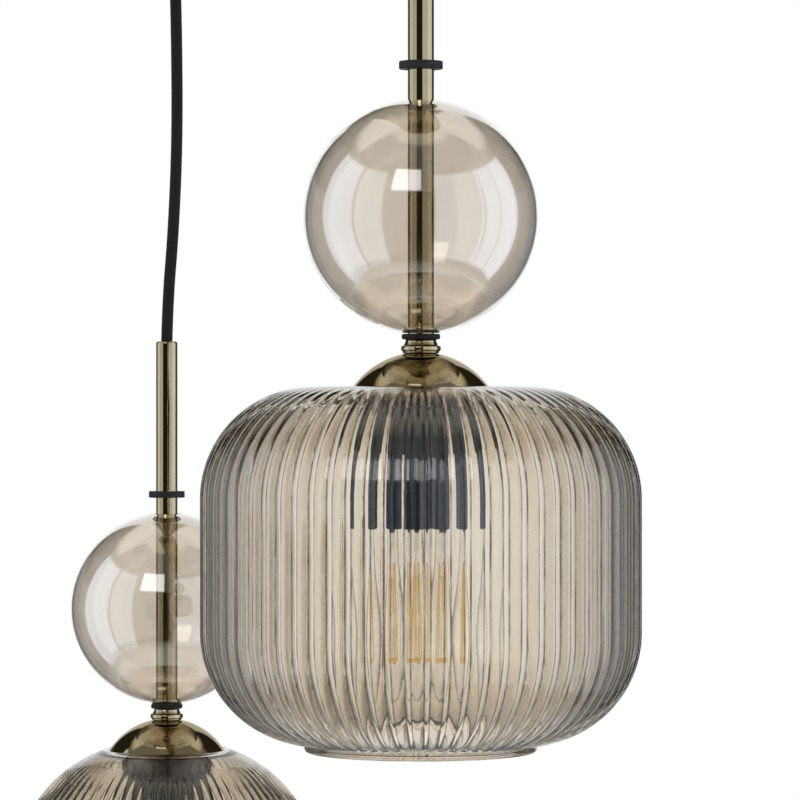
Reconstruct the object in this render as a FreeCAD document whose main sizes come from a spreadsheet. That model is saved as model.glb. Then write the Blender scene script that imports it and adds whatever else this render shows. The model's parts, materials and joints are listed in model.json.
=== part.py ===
import FreeCAD, Part
import math
import os
import Sketcher

# Cluster pendant with two drops hung from one racetrack ceiling plate. Each drop is a fabric cord, a brass tube
# through a thin glass ball, a turned coupler, a dome and a ribbed glass shade round a screw-base lamp.
# One shade is a round-shouldered drum, the other a globe. Millimetres, +Z up, origin at the ceiling.

Vector = FreeCAD.Vector

SIZES = {
    # Ceiling plate and bracket
    "drop_spacing": 432.0,
    "canopy_width": 110.0,
    "canopy_height": 30.0,
    "canopy_wall": 1.2,
    "canopy_round": 7.0,
    "ceiling_gap": 0.3,
    "bracket_width": 30.0,
    "bracket_gauge": 2.5,
    "bracket_tab": 15.0,
    "bracket_slot_spacing": 300.0,
    "bracket_slot_length": 20.0,
    "bracket_slot_width": 5.5,
    "cable_entry_dia": 16.0,
    "cable_entry_x": 60.0,
    "end_screw_dia": 4.0,
    "end_screw_head_dia": 11.0,
    "end_screw_head_length": 5.0,
    "end_screw_reach": 9.0,
    "end_screw_depth": 9.0,
    # Terminal block and leads
    "block_length": 24.0,
    "block_height": 13.0,
    "pole_pitch": 10.0,
    "wire_hole_dia": 4.2,
    "wire_grip": 4.0,
    "clamp_screw_dia": 3.4,
    "clamp_screw_inset": 6.0,
    "fixing_screw_dia": 3.0,
    "fixing_head_dia": 5.0,
    "fixing_head_height": 1.4,
    "earth_screw_x": -60.0,
    "earth_screw_dia": 4.0,
    "earth_head_dia": 8.0,
    "earth_head_height": 2.6,
    "lead_dia": 1.9,
    "lead_pitch": 2.1,
    "lead_depth": 9.0,
    # Cord outlets under the ceiling plate
    "pivot_below_plate": 6.0,
    "swivel_ball_dia": 13.0,
    "swivel_gap": 0.3,
    "cord_gap": 0.4,
    "outlet_flange_dia": 24.0,
    "outlet_flange": 1.6,
    "outlet_wall": 1.8,
    "outlet_cup_below_pivot": 1.0,
    "outlet_stem_dia": 10.0,
    "outlet_stem_length": 7.0,
    "outlet_ring_length": 12.0,
    "outlet_lip_dia": 10.0,
    "outlet_mouth_dia": 12.6,
    "outlet_nut_flats": 14.0,
    "outlet_nut_height": 3.0,
    # Cord, tube and glass ball
    "cord_dia": 6.4,
    "drum_seat_depth": 350.0,
    "globe_seat_depth": 549.5,
    "tube_dia": 12.0,
    "tube_bore_dia": 9.0,
    "tube_above_ball": 148.9,
    "tube_mouth_round": 1.2,
    "bush_length": 8.0,
    "bush_recess": 0.6,
    "nipple_dia": 10.0,
    "nipple_bore_dia": 7.4,
    "nipple_in_tube": 12.0,
    "fit_gap": 0.05,
    "slide_gap": 0.08,
    "stop_ring_dia": 20.0,
    "stop_ring_height": 3.6,
    "stop_ring_round": 0.5,
    "drum_ring_above_ball": 68.9,
    "globe_ring_above_ball": 63.6,
    "glass_ball_dia": 107.0,
    "glass_ball_wall": 1.2,
    "glass_ball_top_hole_dia": 16.0,
    "glass_ball_foot_hole_dia": 15.6,
    "glass_ball_gap": 0.3,
    "gasket_dia": 17.6,
    "gasket_height": 2.5,
    "gasket_round": 0.9,
    # Coupler and dome
    "coupler_height": 6.7,
    "coupler_belly_dia": 18.3,
    "coupler_neck_dia": 14.8,
    "coupler_foot_dia": 13.6,
    "coupler_groove": 0.9,
    "coupler_socket": 4.0,
    "dome_dia": 64.0,
    "dome_sphere_dia": 76.2,
    "dome_flat_dia": 18.0,
    "dome_wall": 1.0,
    "nipple_nut_flats": 14.0,
    "nipple_nut_height": 3.0,
    # Lampholder
    "holder_dia": 42.0,
    "holder_wall": 2.15,
    "holder_step": 1.3,
    "holder_foot_depth": 62.7,
    "holder_mouth_bevel": 1.2,
    "cap_flange_dia": 52.0,
    "cap_flange": 1.8,
    "cap_neck_dia": 18.0,
    "cap_dome_radius": 20.0,
    "cap_thread": 5.0,
    "cap_wall": 2.2,
    "cap_spigot": 6.0,
    "washer_height": 1.0,
    "washer_dia": 51.6,
    "ring_flange_dia": 55.0,
    "ring_flange": 3.0,
    "ring_height": 25.0,
    "ring_skirt_dia": 51.0,
    "ring_foot_dia": 48.0,
    "ring_slot_count": 24,
    "ring_slot_width": 2.6,
    "ring_slot_depth": 1.3,
    "ring_slot_start": 6.0,
    "insert_wall": 3.35,
    "insert_pocket_length": 23.0,
    "insert_foot_depth": 58.5,
    "insert_wire_hole_dia": 3.4,
    "insert_wire_hole_spacing": 14.0,
    "shell_wall": 0.5,
    "shell_foot_gap": 1.0,
    "contact_dia": 8.0,
    "contact_gauge": 0.8,
    # Lamp
    "lamp_dia": 60.0,
    "lamp_length": 106.0,
    "lamp_cap_dia": 26.2,
    "lamp_cap_length": 25.0,
    "lamp_cap_wall": 0.5,
    "lamp_cap_shoulder": 4.0,
    "lamp_button_dia": 9.0,
    "lamp_neck_dia": 25.0,
    "lamp_neck_radius": 60.0,
    "lamp_glass_wall": 0.8,
    "lamp_seal": 4.0,
    "lamp_contact_gap": 0.3,
    "stem_dia": 9.0,
    "stem_tip_dia": 6.0,
    "stem_flare": 6.0,
    "stem_length": 28.0,
    "stem_rod_dia": 1.6,
    "filament_count": 4,
    "filament_dia": 1.8,
    "filament_drop": 44.0,
    "filament_below_seal": 20.5,
    "filament_top_radius": 5.5,
    "filament_foot_radius": 12.5,
    "support_wire_dia": 0.8,
    # Ribbed glass
    "drum_dia": 200.8,
    "drum_height": 164.2,
    "drum_shoulder_radius": 51.0,
    "drum_foot_dia": 106.0,
    "globe_dia": 178.0,
    "globe_foot_dia": 96.0,
    "foot_height": 3.5,
    "foot_bevel": 1.1,
    "shade_wall": 3.0,
    "seat_dia": 67.0,
    "seat_recess": 1.6,
    "shade_hole_dia": 44.0,
    "rib_count": 72,
    "rib_depth": 1.0,
    "rib_run_in": 9.0,
    "shoulder_steps": 8,
}

# How far each cord bows sideways in x and y, and its height above the tube's mouth, chosen by hand.
DRUM_BOW = [
    (0.00, 0.00, 0.0),
    (0.13, 0.38, 19.0),
    (0.42, 1.23, 44.0),
    (0.29, 0.85, 68.0),
]
GLOBE_BOW = [
    (0.00, 0.00, 0.0),
    (0.19, 0.57, 24.0),
    (1.16, 3.41, 60.0),
    (1.87, 5.49, 110.0),
    (1.81, 5.30, 165.0),
    (1.36, 3.97, 220.0),
    (0.39, 1.14, 262.0),
]

# Share of the shorter run that a bend in a cord or lead takes up on each side of its corner.
BEND_SHARE = 0.45
FULL_TURN = 360.0


class Size:
    """A length as a number, with the sheet formula that it comes from."""

    def __init__(self, value, text):
        self.value = value
        self.text = text

    def joined(self, sign, other, value):
        return Size(value, f"({self.text} {sign} {other.text})")

    def __add__(self, other):
        other = as_size(other)
        return self.joined("+", other, self.value + other.value)

    def __sub__(self, other):
        other = as_size(other)
        return self.joined("-", other, self.value - other.value)

    def __mul__(self, other):
        other = as_size(other)
        return self.joined("*", other, self.value * other.value)

    def __truediv__(self, other):
        other = as_size(other)
        return self.joined("/", other, self.value / other.value)

    def __neg__(self):
        return Size(-self.value, f"(0 - {self.text})")


def as_size(thing):
    return thing if isinstance(thing, Size) else Size(float(thing), f"{thing:.9g}")


def root(size):
    return Size(math.sqrt(size.value), f"sqrt({size.text})")


def leg(hypotenuse, other_leg):
    """The other leg of a right triangle, such as a circle's height at a given half width."""
    return root(hypotenuse * hypotenuse - other_leg * other_leg)


doc = FreeCAD.newDocument("cluster_pendant")
sheet = doc.addObject("Spreadsheet::Sheet", "Sizes")
nodes = []


def read_sizes():
    """Fills the sheet with one alias per driving dimension and returns them as sizes by name."""
    sizes = {}
    for row, (name, number) in enumerate(SIZES.items(), start=1):
        sheet.set(f"A{row}", name)
        sheet.set(f"B{row}", str(number))
        sheet.setAlias(f"B{row}", name)
        sizes[name] = Size(float(number), f"Sizes.{name}")
    doc.recompute()
    return sizes


S = read_sizes()


# Helpers that draw, pad and revolve


def bind(thing, field, size):
    """Ties a property to the sheet where its size comes from there."""
    if "Sizes." in size.text:
        thing.setExpression(field, size.text)


def plane_of(body, role):
    return next(feature for feature in body.Origin.OriginFeatures if feature.Role == role)


def new_body(label):
    body = doc.addObject("PartDesign::Body", label)
    body.Label = label
    return body


def new_sketch(body, role, name, offset=None):
    sketch = body.newObject("Sketcher::SketchObject", name)
    sketch.AttachmentSupport = [(plane_of(body, role), "")]
    sketch.MapMode = "FlatFace"
    if offset is not None:
        sketch.AttachmentOffset = FreeCAD.Placement(Vector(0, 0, offset.value), FreeCAD.Rotation())
        bind(sketch, "AttachmentOffset.Base.z", offset)
    return sketch


def dimension(sketch, size, kind, *where):
    """Adds a dimension to the sketch and ties it to the sheet."""
    index = sketch.addConstraint(Sketcher.Constraint(kind, *where, size.value))
    bind(sketch, f"Constraints[{index}]", size)


def arc_between(start, end, radius, bend):
    """A minor arc from start to end: bend 1 turns left on the way, -1 turns right."""
    chord = end - start
    rise = math.sqrt(max(radius * radius - chord.Length * chord.Length / 4, 0.0))
    left = Vector(-chord.y, chord.x, 0) / chord.Length
    centre = (start + end) / 2 + left * (bend * rise)
    first, last = (start, end) if bend > 0 else (end, start)
    turn = [math.atan2(point.y - centre.y, point.x - centre.x) for point in (first, last)]
    return Part.ArcOfCircle(Part.Circle(centre, Vector(0, 0, 1), radius), turn[0], turn[1])


def closed_outline(sketch, corners):
    """Draws a closed outline. A corner is (x, y), or (x, y, radius, bend) where an arc leads to it."""
    places = [(as_size(corner[0]), as_size(corner[1])) for corner in corners]
    points = [Vector(x.value, y.value, 0) for x, y in places]
    edges = []
    for index, corner in enumerate(corners):
        start, end = points[index - 1], points[index]
        if len(corner) == 2:
            edges.append((sketch.addGeometry(Part.LineSegment(start, end), False), 1, 2))
        else:
            radius, bend = as_size(corner[2]), corner[3]
            edge = sketch.addGeometry(arc_between(start, end, radius.value, bend), False)
            edges.append((edge, 1, 2) if bend > 0 else (edge, 2, 1))
            dimension(sketch, radius, "Radius", edge)
    for index, (edge, _, last) in enumerate(edges):
        after, first, _ = edges[(index + 1) % len(edges)]
        sketch.addConstraint(Sketcher.Constraint("Coincident", edge, last, after, first))
        dimension(sketch, places[index][0], "DistanceX", -1, 1, edge, last)
        dimension(sketch, places[index][1], "DistanceY", -1, 1, edge, last)


def circle_at(sketch, x, y, radius):
    x, y = as_size(x), as_size(y)
    circle = Part.Circle(Vector(x.value, y.value, 0), Vector(0, 0, 1), radius.value)
    edge = sketch.addGeometry(circle, False)
    dimension(sketch, radius, "Radius", edge)
    dimension(sketch, x, "DistanceX", -1, 1, edge, 3)
    dimension(sketch, y, "DistanceY", -1, 1, edge, 3)


def rectangle(sketch, low_x, low_y, high_x, high_y):
    closed_outline(sketch, [(low_x, low_y), (high_x, low_y), (high_x, high_y), (low_x, high_y)])


def racetrack(sketch, middle, half_straight, end_radius):
    """A slot shape along X round (middle, 0), each round end drawn as two quarter arcs."""
    right, left = middle + half_straight, middle - half_straight
    closed_outline(
        sketch,
        [
            (right, -end_radius),
            (right + end_radius, 0, end_radius, 1),
            (right, end_radius, end_radius, 1),
            (left, end_radius),
            (left - end_radius, 0, end_radius, 1),
            (left, -end_radius, end_radius, 1),
        ],
    )


def hexagon(sketch, flats):
    half = flats / 2
    corner = flats / math.sqrt(3)
    closed_outline(
        sketch,
        [
            (corner, 0),
            (corner / 2, half),
            (-corner / 2, half),
            (-corner, 0),
            (-corner / 2, -half),
            (corner / 2, -half),
        ],
    )


def revolved(label, corners):
    """A turned piece: its half section in the XZ plane, revolved about Z."""
    body = new_body(label)
    sketch = new_sketch(body, "XZ_Plane", label + "_section")
    closed_outline(sketch, corners)
    turn = body.newObject("PartDesign::Revolution", label + "_turn")
    turn.Profile = sketch
    turn.ReferenceAxis = (sketch, ["V_Axis"])
    turn.Angle = FULL_TURN
    return body


def padded(body, sketch, height, name):
    pad = body.newObject("PartDesign::Pad", name)
    pad.Profile = sketch
    pad.Length = height.value
    bind(pad, "Length", height)
    return pad


def pocketed(body, sketch, depth, name, upward=False):
    """Cuts the sketch against its normal, or along it when upward, and checks that volume was lost."""
    doc.recompute()
    before = body.Shape.Volume
    pocket = body.newObject("PartDesign::Pocket", name)
    pocket.Profile = sketch
    pocket.Length = depth.value
    bind(pocket, "Length", depth)
    pocket.Reversed = upward
    doc.recompute()
    if body.Shape.Volume > before - 1e-6:
        raise RuntimeError(f"{name} cuts nothing")
    return pocket


def repeated(body, feature, count, name):
    pattern = body.newObject("PartDesign::PolarPattern", name)
    pattern.Originals = [feature]
    pattern.Axis = (plane_of(body, "Z_Axis"), [""])
    pattern.Angle = FULL_TURN
    pattern.Occurrences = int(count.value)
    bind(pattern, "Occurrences", count)
    body.Tip = pattern
    return pattern


def shaped(label, shape):
    """A piece whose shape is worked out here from the sheet's sizes."""
    feature = doc.addObject("Part::Feature", label)
    feature.Label = label
    feature.Shape = shape
    return feature


def grouped(label, pieces):
    """Several like solids kept as one named group."""
    group = doc.addObject("Part::Compound", label)
    group.Label = label
    group.Links = pieces
    return group


def put(thing, x=0, y=0, z=0):
    """Ties a piece's place to the sheet."""
    place = [as_size(x), as_size(y), as_size(z)]
    thing.Placement = FreeCAD.Placement(Vector(*[size.value for size in place]), thing.Placement.Rotation)
    for axis, size in zip("xyz", place):
        bind(thing, f"Placement.Base.{axis}", size)
    return thing


def bent_path(points):
    """Straight runs through the points, joined by tangent arcs, and the radius of each arc."""
    corners = [Vector(*point) for point in points]
    edges, radii = [], []
    start = corners[0]
    for before, corner, after in zip(corners, corners[1:], corners[2:]):
        way_in = (corner - before).normalize()
        way_out = (after - corner).normalize()
        taken = BEND_SHARE * min((corner - before).Length, (after - corner).Length)
        half_turn = way_in.getAngle(way_out) / 2
        radius = taken / math.tan(half_turn)
        inward = (way_out - way_in).normalize()
        middle = corner + inward * (radius / math.cos(half_turn) - radius)
        arc_start, arc_end = corner - way_in * taken, corner + way_out * taken
        edges.append(Part.LineSegment(start, arc_start).toShape())
        edges.append(Part.Arc(arc_start, middle, arc_end).toShape())
        radii.append(radius)
        start = arc_end
    edges.append(Part.LineSegment(start, corners[-1]).toShape())
    return Part.Wire(edges), radii


def swept_tube(label, points, radius):
    """A round tube along the points, with its volume compared with its section times its length."""
    path, radii = bent_path(points)
    start = Vector(*points[0])
    ring = Part.Wire([Part.Circle(start, Vector(*points[1]) - start, radius).toShape()])
    tube = path.makePipeShell([ring], True, False)
    expected = math.pi * radius * radius * path.Length
    if abs(tube.Volume - expected) > 0.01 * expected:
        raise RuntimeError(f"{label}: volume {tube.Volume:.1f}, expected {expected:.1f}")
    print(f"{label}: length {path.Length:.1f} mm, radii", [round(value, 1) for value in radii])
    return tube


def rod(start, end, radius):
    return Part.makeCylinder(radius, (end - start).Length, start, end - start)


# Places and radii that several pieces share, as heights below the ceiling

half_spacing = S["drop_spacing"] / 2
plate_under = -S["canopy_height"]
plate_inside = plate_under + S["canopy_wall"]
pivot_z = plate_under - S["pivot_below_plate"]
bracket_under = -S["bracket_gauge"]
block_under = bracket_under - S["block_height"]
stem_top = plate_inside + S["outlet_stem_length"]
swivel_radius = S["swivel_ball_dia"] / 2
cup_radius = swivel_radius + S["swivel_gap"]
cup_outside = cup_radius + S["outlet_wall"]
cup_foot = pivot_z - S["outlet_cup_below_pivot"]
stem_radius = S["outlet_stem_dia"] / 2
cord_radius = S["cord_dia"] / 2
canopy_tip = half_spacing + S["canopy_width"] / 2
canopy_inside = S["canopy_width"] / 2 - S["canopy_wall"]
tab_face = half_spacing + leg(canopy_inside, S["bracket_width"] / 2) - S["ceiling_gap"]

# Places on one drop, as heights above the seat where the dome rests on the glass

dome_radius = S["dome_dia"] / 2
dome_sphere = S["dome_sphere_dia"] / 2
dome_inner_sphere = dome_sphere - S["dome_wall"]
dome_centre = -leg(dome_sphere, dome_radius)
dome_top = dome_centre + leg(dome_sphere, S["dome_flat_dia"] / 2)
dome_inside = dome_top - S["dome_wall"]
coupler_top = dome_top + S["coupler_height"]
gasket_top = coupler_top + S["gasket_height"]
tube_foot = coupler_top - S["coupler_socket"]
ball_radius = S["glass_ball_dia"] / 2
ball_foot_hole = S["glass_ball_foot_hole_dia"] / 2
ball_centre = gasket_top + S["glass_ball_gap"] + leg(ball_radius, ball_foot_hole)
tube_head = ball_centre + S["tube_above_ball"]
tube_radius = S["tube_dia"] / 2
tube_bore = S["tube_bore_dia"] / 2
nipple_radius = S["nipple_dia"] / 2
nipple_hole = nipple_radius + S["fit_gap"]
nipple_top = tube_foot + S["nipple_in_tube"]
cap_top = dome_inside - S["nipple_nut_height"]
nipple_foot = cap_top - S["cap_thread"]
holder_top = S["washer_height"]
holder_step = holder_top - S["cap_spigot"]
holder_radius = S["holder_dia"] / 2
holder_bore = holder_radius - S["holder_wall"]
insert_radius = holder_bore - S["holder_step"]
pocket_radius = insert_radius - S["insert_wall"]
pocket_floor = S["insert_pocket_length"] - S["insert_foot_depth"]
seat_radius = S["seat_dia"] / 2
rib_start_radius = seat_radius + S["seat_recess"]
lamp_top = pocket_floor - S["contact_gauge"] - S["lamp_contact_gap"]
lamp_radius = S["lamp_dia"] / 2
lamp_centre = lamp_top - S["lamp_length"] + lamp_radius
lamp_rim = lamp_top - S["lamp_cap_length"]
lamp_neck = S["lamp_neck_dia"] / 2
seal_top = lamp_rim + S["lamp_seal"] - 1


# Ceiling plate, bracket and what is fixed to them


def make_bracket():
    """Steel strip with down-turned ends, slotted for the ceiling screws, with a hole for the supply cable."""
    body = new_body("ceiling_bracket")
    half_width = S["bracket_width"] / 2
    strip = new_sketch(body, "XY_Plane", "bracket_strip", bracket_under)
    rectangle(strip, -tab_face, -half_width, tab_face, half_width)
    padded(body, strip, S["bracket_gauge"], "bracket_strip_pad")
    tabs = new_sketch(body, "XY_Plane", "bracket_tabs", -S["bracket_tab"])
    inner = tab_face - S["bracket_gauge"]
    rectangle(tabs, inner, -half_width, tab_face, half_width)
    rectangle(tabs, -tab_face, -half_width, -inner, half_width)
    padded(body, tabs, S["bracket_tab"], "bracket_tabs_pad")
    holes = new_sketch(body, "XY_Plane", "bracket_holes")
    half_slot = S["bracket_slot_width"] / 2
    for side in (-1, 1):
        racetrack(holes, S["bracket_slot_spacing"] / 2 * side, S["bracket_slot_length"] / 2 - half_slot, half_slot)
        circle_at(holes, 0, S["pole_pitch"] / 2 * side, S["fixing_screw_dia"] / 2 + S["fit_gap"])
    circle_at(holes, S["cable_entry_x"], 0, S["cable_entry_dia"] / 2)
    circle_at(holes, S["earth_screw_x"], 0, S["earth_screw_dia"] / 2 + S["fit_gap"])
    pocketed(body, holes, S["bracket_gauge"], "bracket_hole_cut")
    ends = new_sketch(body, "YZ_Plane", "bracket_end_holes", canopy_tip)
    circle_at(ends, 0, -S["end_screw_depth"], S["end_screw_dia"] / 2 + S["fit_gap"])
    pocketed(body, ends, canopy_tip * 2, "bracket_end_hole_cut")
    return body


def round_block(label, inset, floor, rounding):
    """A racetrack block up to the canopy's rim, with rounded lower edges."""
    body = new_body(label)
    outline = new_sketch(body, "XY_Plane", label + "_outline", floor)
    racetrack(outline, as_size(0), half_spacing, S["canopy_width"] / 2 - inset)
    pad = padded(body, outline, -S["ceiling_gap"] - floor, label + "_pad")
    doc.recompute()
    lower = [
        f"Edge{index}"
        for index, edge in enumerate(pad.Shape.Edges, start=1)
        if abs(edge.BoundBox.ZMax - floor.value) < 1e-6
    ]
    fillet = body.newObject("PartDesign::Fillet", label + "_rounding")
    fillet.Base = (pad, lower)
    fillet.Radius = rounding.value
    bind(fillet, "Radius", rounding)
    return body


def hole_tool(label, x, z, radius, height, along_x=False):
    """A cylinder that cuts a hole, standing on z, or lying along X from x."""
    tool = doc.addObject("Part::Cylinder", label)
    tool.Radius = radius.value
    bind(tool, "Radius", radius)
    tool.Height = height.value
    bind(tool, "Height", height)
    if along_x:
        tool.Placement = FreeCAD.Placement(Vector(), FreeCAD.Rotation(Vector(0, 1, 0), 90))
    return put(tool, x, 0, z)


def make_canopy():
    """Pressed brass pan, open at the top, with holes for the two outlets and the two end screws."""
    outside = round_block("canopy_outside", as_size(0), plate_under, S["canopy_round"])
    wall = S["canopy_wall"]
    inside = round_block("canopy_inside", wall, plate_inside, S["canopy_round"] - wall)
    pan = doc.addObject("Part::Cut", "canopy_pan")
    pan.Base = outside
    pan.Tool = inside
    outlet_hole = stem_radius + S["fit_gap"]
    screw_hole = S["end_screw_dia"] / 2 + S["fit_gap"]
    tools = doc.addObject("Part::Compound", "canopy_holes")
    tools.Links = [
        hole_tool("right_outlet_hole", half_spacing, plate_under - 1, outlet_hole, wall + 2),
        hole_tool("left_outlet_hole", -half_spacing, plate_under - 1, outlet_hole, wall + 2),
        hole_tool("end_hole", -canopy_tip - 1, -S["end_screw_depth"], screw_hole, canopy_tip * 2 + 2, True),
    ]
    canopy = doc.addObject("Part::Cut", "canopy")
    canopy.Label = "canopy"
    canopy.Base = pan
    canopy.Tool = tools
    return canopy


def make_end_screws():
    """Thumb screws through the plate's ends into the bracket's tabs."""
    shank = S["end_screw_dia"] / 2
    head = S["end_screw_head_dia"] / 2
    back = S["end_screw_head_length"]
    screws = []
    for side, name in ((1, "right_end_screw"), (-1, "left_end_screw")):
        screw = revolved(
            name,
            [
                (0, -S["end_screw_reach"]),
                (shank, -S["end_screw_reach"]),
                (shank, 0),
                (head, 0),
                (head, back - 1),
                (head - 1, back),
                (0, back),
            ],
        )
        screw.Placement = FreeCAD.Placement(Vector(), FreeCAD.Rotation(Vector(0, 1, 0), 90 * side))
        screws.append(put(screw, canopy_tip * side, 0, -S["end_screw_depth"]))
    return grouped("canopy_screws", screws)


def make_terminal_block():
    """Three-pole block under the bracket: wire holes along X, clamp screw holes from below."""
    body = new_body("terminal_block")
    half_length = S["block_length"] / 2
    half_width = S["pole_pitch"] * 1.5
    outline = new_sketch(body, "XY_Plane", "block_outline", block_under)
    rectangle(outline, -half_length, -half_width, half_length, half_width)
    padded(body, outline, S["block_height"], "block_pad")
    wires = new_sketch(body, "YZ_Plane", "block_wire_holes", half_length)
    for pole in (-1, 0, 1):
        circle_at(wires, S["pole_pitch"] * pole, -S["lead_depth"], S["wire_hole_dia"] / 2)
    pocketed(body, wires, S["block_length"], "block_wire_hole_cut")
    screws = new_sketch(body, "XY_Plane", "block_screw_holes", block_under)
    for side in (-1, 1):
        for pole in (-1, 0, 1):
            hole = S["clamp_screw_dia"] / 2 + S["fit_gap"]
            circle_at(screws, S["clamp_screw_inset"] * side, S["pole_pitch"] * pole, hole)
    pocketed(body, screws, -S["lead_depth"] - block_under, "block_screw_hole_cut", upward=True)
    fixings = new_sketch(body, "XY_Plane", "block_fixing_holes", block_under)
    for side in (-1, 1):
        circle_at(fixings, 0, S["pole_pitch"] / 2 * side, S["fixing_screw_dia"] / 2 + S["fit_gap"])
    pocketed(body, fixings, S["block_height"], "block_fixing_hole_cut", upward=True)
    return body


def headed_screw(name, radius, head_radius, head_height, length):
    """A screw that points up, with its head below z = 0."""
    return revolved(
        name,
        [
            (0, -head_height),
            (head_radius, -head_height),
            (head_radius, 0),
            (radius, 0),
            (radius, length),
            (0, length),
        ],
    )


def make_terminal_screws():
    """Six clamp screws that stop just under their wires."""
    screws = []
    radius = S["clamp_screw_dia"] / 2
    length = -S["lead_depth"] - S["lead_dia"] / 2 - S["fit_gap"] - block_under
    for side in (-1, 1):
        for pole in (-1, 0, 1):
            name = f"clamp_screw_{len(screws) + 1}"
            screw = revolved(name, [(0, 0), (radius, 0), (radius, length), (0, length)])
            screws.append(put(screw, S["clamp_screw_inset"] * side, S["pole_pitch"] * pole, block_under))
    return grouped("terminal_screws", screws)


def make_block_screws():
    screws = []
    for side in (-1, 1):
        screw = headed_screw(
            f"block_screw_{len(screws) + 1}",
            S["fixing_screw_dia"] / 2,
            S["fixing_head_dia"] / 2,
            S["fixing_head_height"],
            S["block_height"] + S["bracket_gauge"] / 2,
        )
        screws.append(put(screw, 0, S["pole_pitch"] / 2 * side, block_under))
    return grouped("block_screws", screws)


def make_earth_screw():
    screw = headed_screw(
        "earth_screw",
        S["earth_screw_dia"] / 2,
        S["earth_head_dia"] / 2,
        S["earth_head_height"],
        S["bracket_gauge"] - S["ceiling_gap"],
    )
    return put(screw, S["earth_screw_x"], 0, bracket_under)


def make_leads(label, side):
    """The cord's end above its swivel ball, and its three cores bent over to the terminal block."""
    outlet = half_spacing.value * side
    top = stem_top.value
    level = -S["lead_depth"].value
    block_face = S["block_length"].value / 2 * side
    stub = rod(Vector(outlet, 0, pivot_z.value), Vector(outlet, 0, top), cord_radius.value)
    ball = Part.makeSphere(cup_radius.value, Vector(outlet, 0, pivot_z.value))
    solids = [stub.cut(ball)]
    for pole in (-1, 0, 1):
        start_y = S["lead_pitch"].value * pole
        pole_y = S["pole_pitch"].value * pole
        points = [
            (outlet, start_y, top),
            (outlet, start_y, level),
            (block_face + S["block_length"].value * side, pole_y, level),
            (block_face - S["wire_grip"].value * side, pole_y, level),
        ]
        if pole == 0:
            del points[2]
        solids.append(swept_tube(f"{label} core", points, S["lead_dia"].value / 2))
    return shaped(label, Part.makeCompound(solids))


# Cord outlets, one under each end of the plate


def outlet_body(name):
    """Cup over the swivel ball, with a flange under the plate and a threaded stem through it."""
    bore = cord_radius + S["cord_gap"]
    flange_under = plate_under - S["outlet_flange"]
    return revolved(
        name,
        [
            (cup_radius, cup_foot),
            (cup_outside, cup_foot),
            (cup_outside, flange_under),
            (S["outlet_flange_dia"] / 2, flange_under),
            (S["outlet_flange_dia"] / 2, plate_under),
            (stem_radius, plate_under),
            (stem_radius, stem_top),
            (bore, stem_top),
            (bore, pivot_z + leg(cup_radius, bore)),
            (cup_radius, pivot_z, cup_radius, -1),
        ],
    )


def outlet_ring(name):
    """Cap ring screwed over the cup: it carries the ball on a round seat and flares out below it."""
    inside = cup_outside + S["fit_gap"]
    outside = inside + S["outlet_wall"]
    top = plate_under - S["outlet_flange"]
    foot = top - S["outlet_ring_length"]
    lip = S["outlet_lip_dia"] / 2
    return revolved(
        name,
        [
            (inside, cup_foot),
            (leg(cup_radius, S["outlet_cup_below_pivot"]), cup_foot),
            (lip, pivot_z - leg(cup_radius, lip), cup_radius, -1),
            (S["outlet_mouth_dia"] / 2, foot),
            (outside - 1, foot),
            (outside, foot + 1, 1, 1),
            (outside, top),
            (inside, top),
        ],
    )


def hex_nut(name, flats, hole_radius, height):
    body = new_body(name)
    sketch = new_sketch(body, "XY_Plane", name + "_hexagon")
    hexagon(sketch, flats)
    circle_at(sketch, 0, 0, hole_radius)
    padded(body, sketch, height, name + "_pad")
    return body


def outlet_nut(name):
    return hex_nut(name, S["outlet_nut_flats"], stem_radius + S["fit_gap"], S["outlet_nut_height"])


def make_pair(label, make, z=0):
    """The same piece under each end of the plate, as one group."""
    pieces = [
        put(make(f"{end}_{label[:-1]}"), half_spacing * side, 0, z)
        for side, end in ((1, "right"), (-1, "left"))
    ]
    return grouped(label, pieces)


def make_swivel_ball(label, side):
    """Nylon stop ball moulded on the cord: the drop hangs plumb from it."""
    ball = doc.addObject("Part::Sphere", label)
    ball.Label = label
    ball.Radius = swivel_radius.value
    bind(ball, "Radius", swivel_radius)
    return put(ball, half_spacing * side, 0, pivot_z)


# One drop, from its cord down to its lamp


def ring_section(inner, outer, low, high, rounding=None):
    """Half section of a ring, with its outer corners rounded where a rounding is given."""
    if rounding is None:
        return [(inner, low), (outer, low), (outer, high), (inner, high)]
    return [
        (inner, low),
        (outer - rounding, low),
        (outer, low + rounding, rounding, 1),
        (outer, high - rounding),
        (outer - rounding, high, rounding, 1),
        (inner, high),
    ]


def make_cord(label, bow, seat_depth):
    """The free cord: from the tube's mouth up to a hollow end under the swivel ball."""
    mouth = tube_head.value
    pivot = pivot_z.value + seat_depth.value
    points = [(x, y, mouth + rise) for x, y, rise in bow] + [(0.0, 0.0, pivot)]
    tube = swept_tube(label, points, cord_radius.value)
    return shaped(label, tube.cut(Part.makeSphere(cup_radius.value, Vector(0, 0, pivot))))


def make_tube(label):
    """Brass tube, rounded at its mouth, with a wider socket below for the nipple."""
    mouth_round = S["tube_mouth_round"]
    return revolved(
        label,
        [
            (nipple_hole, tube_foot),
            (tube_radius, tube_foot),
            (tube_radius, tube_head - mouth_round),
            (tube_radius - mouth_round, tube_head, mouth_round, 1),
            (tube_bore, tube_head),
            (tube_bore, nipple_top),
            (nipple_hole, nipple_top),
        ],
    )


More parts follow.
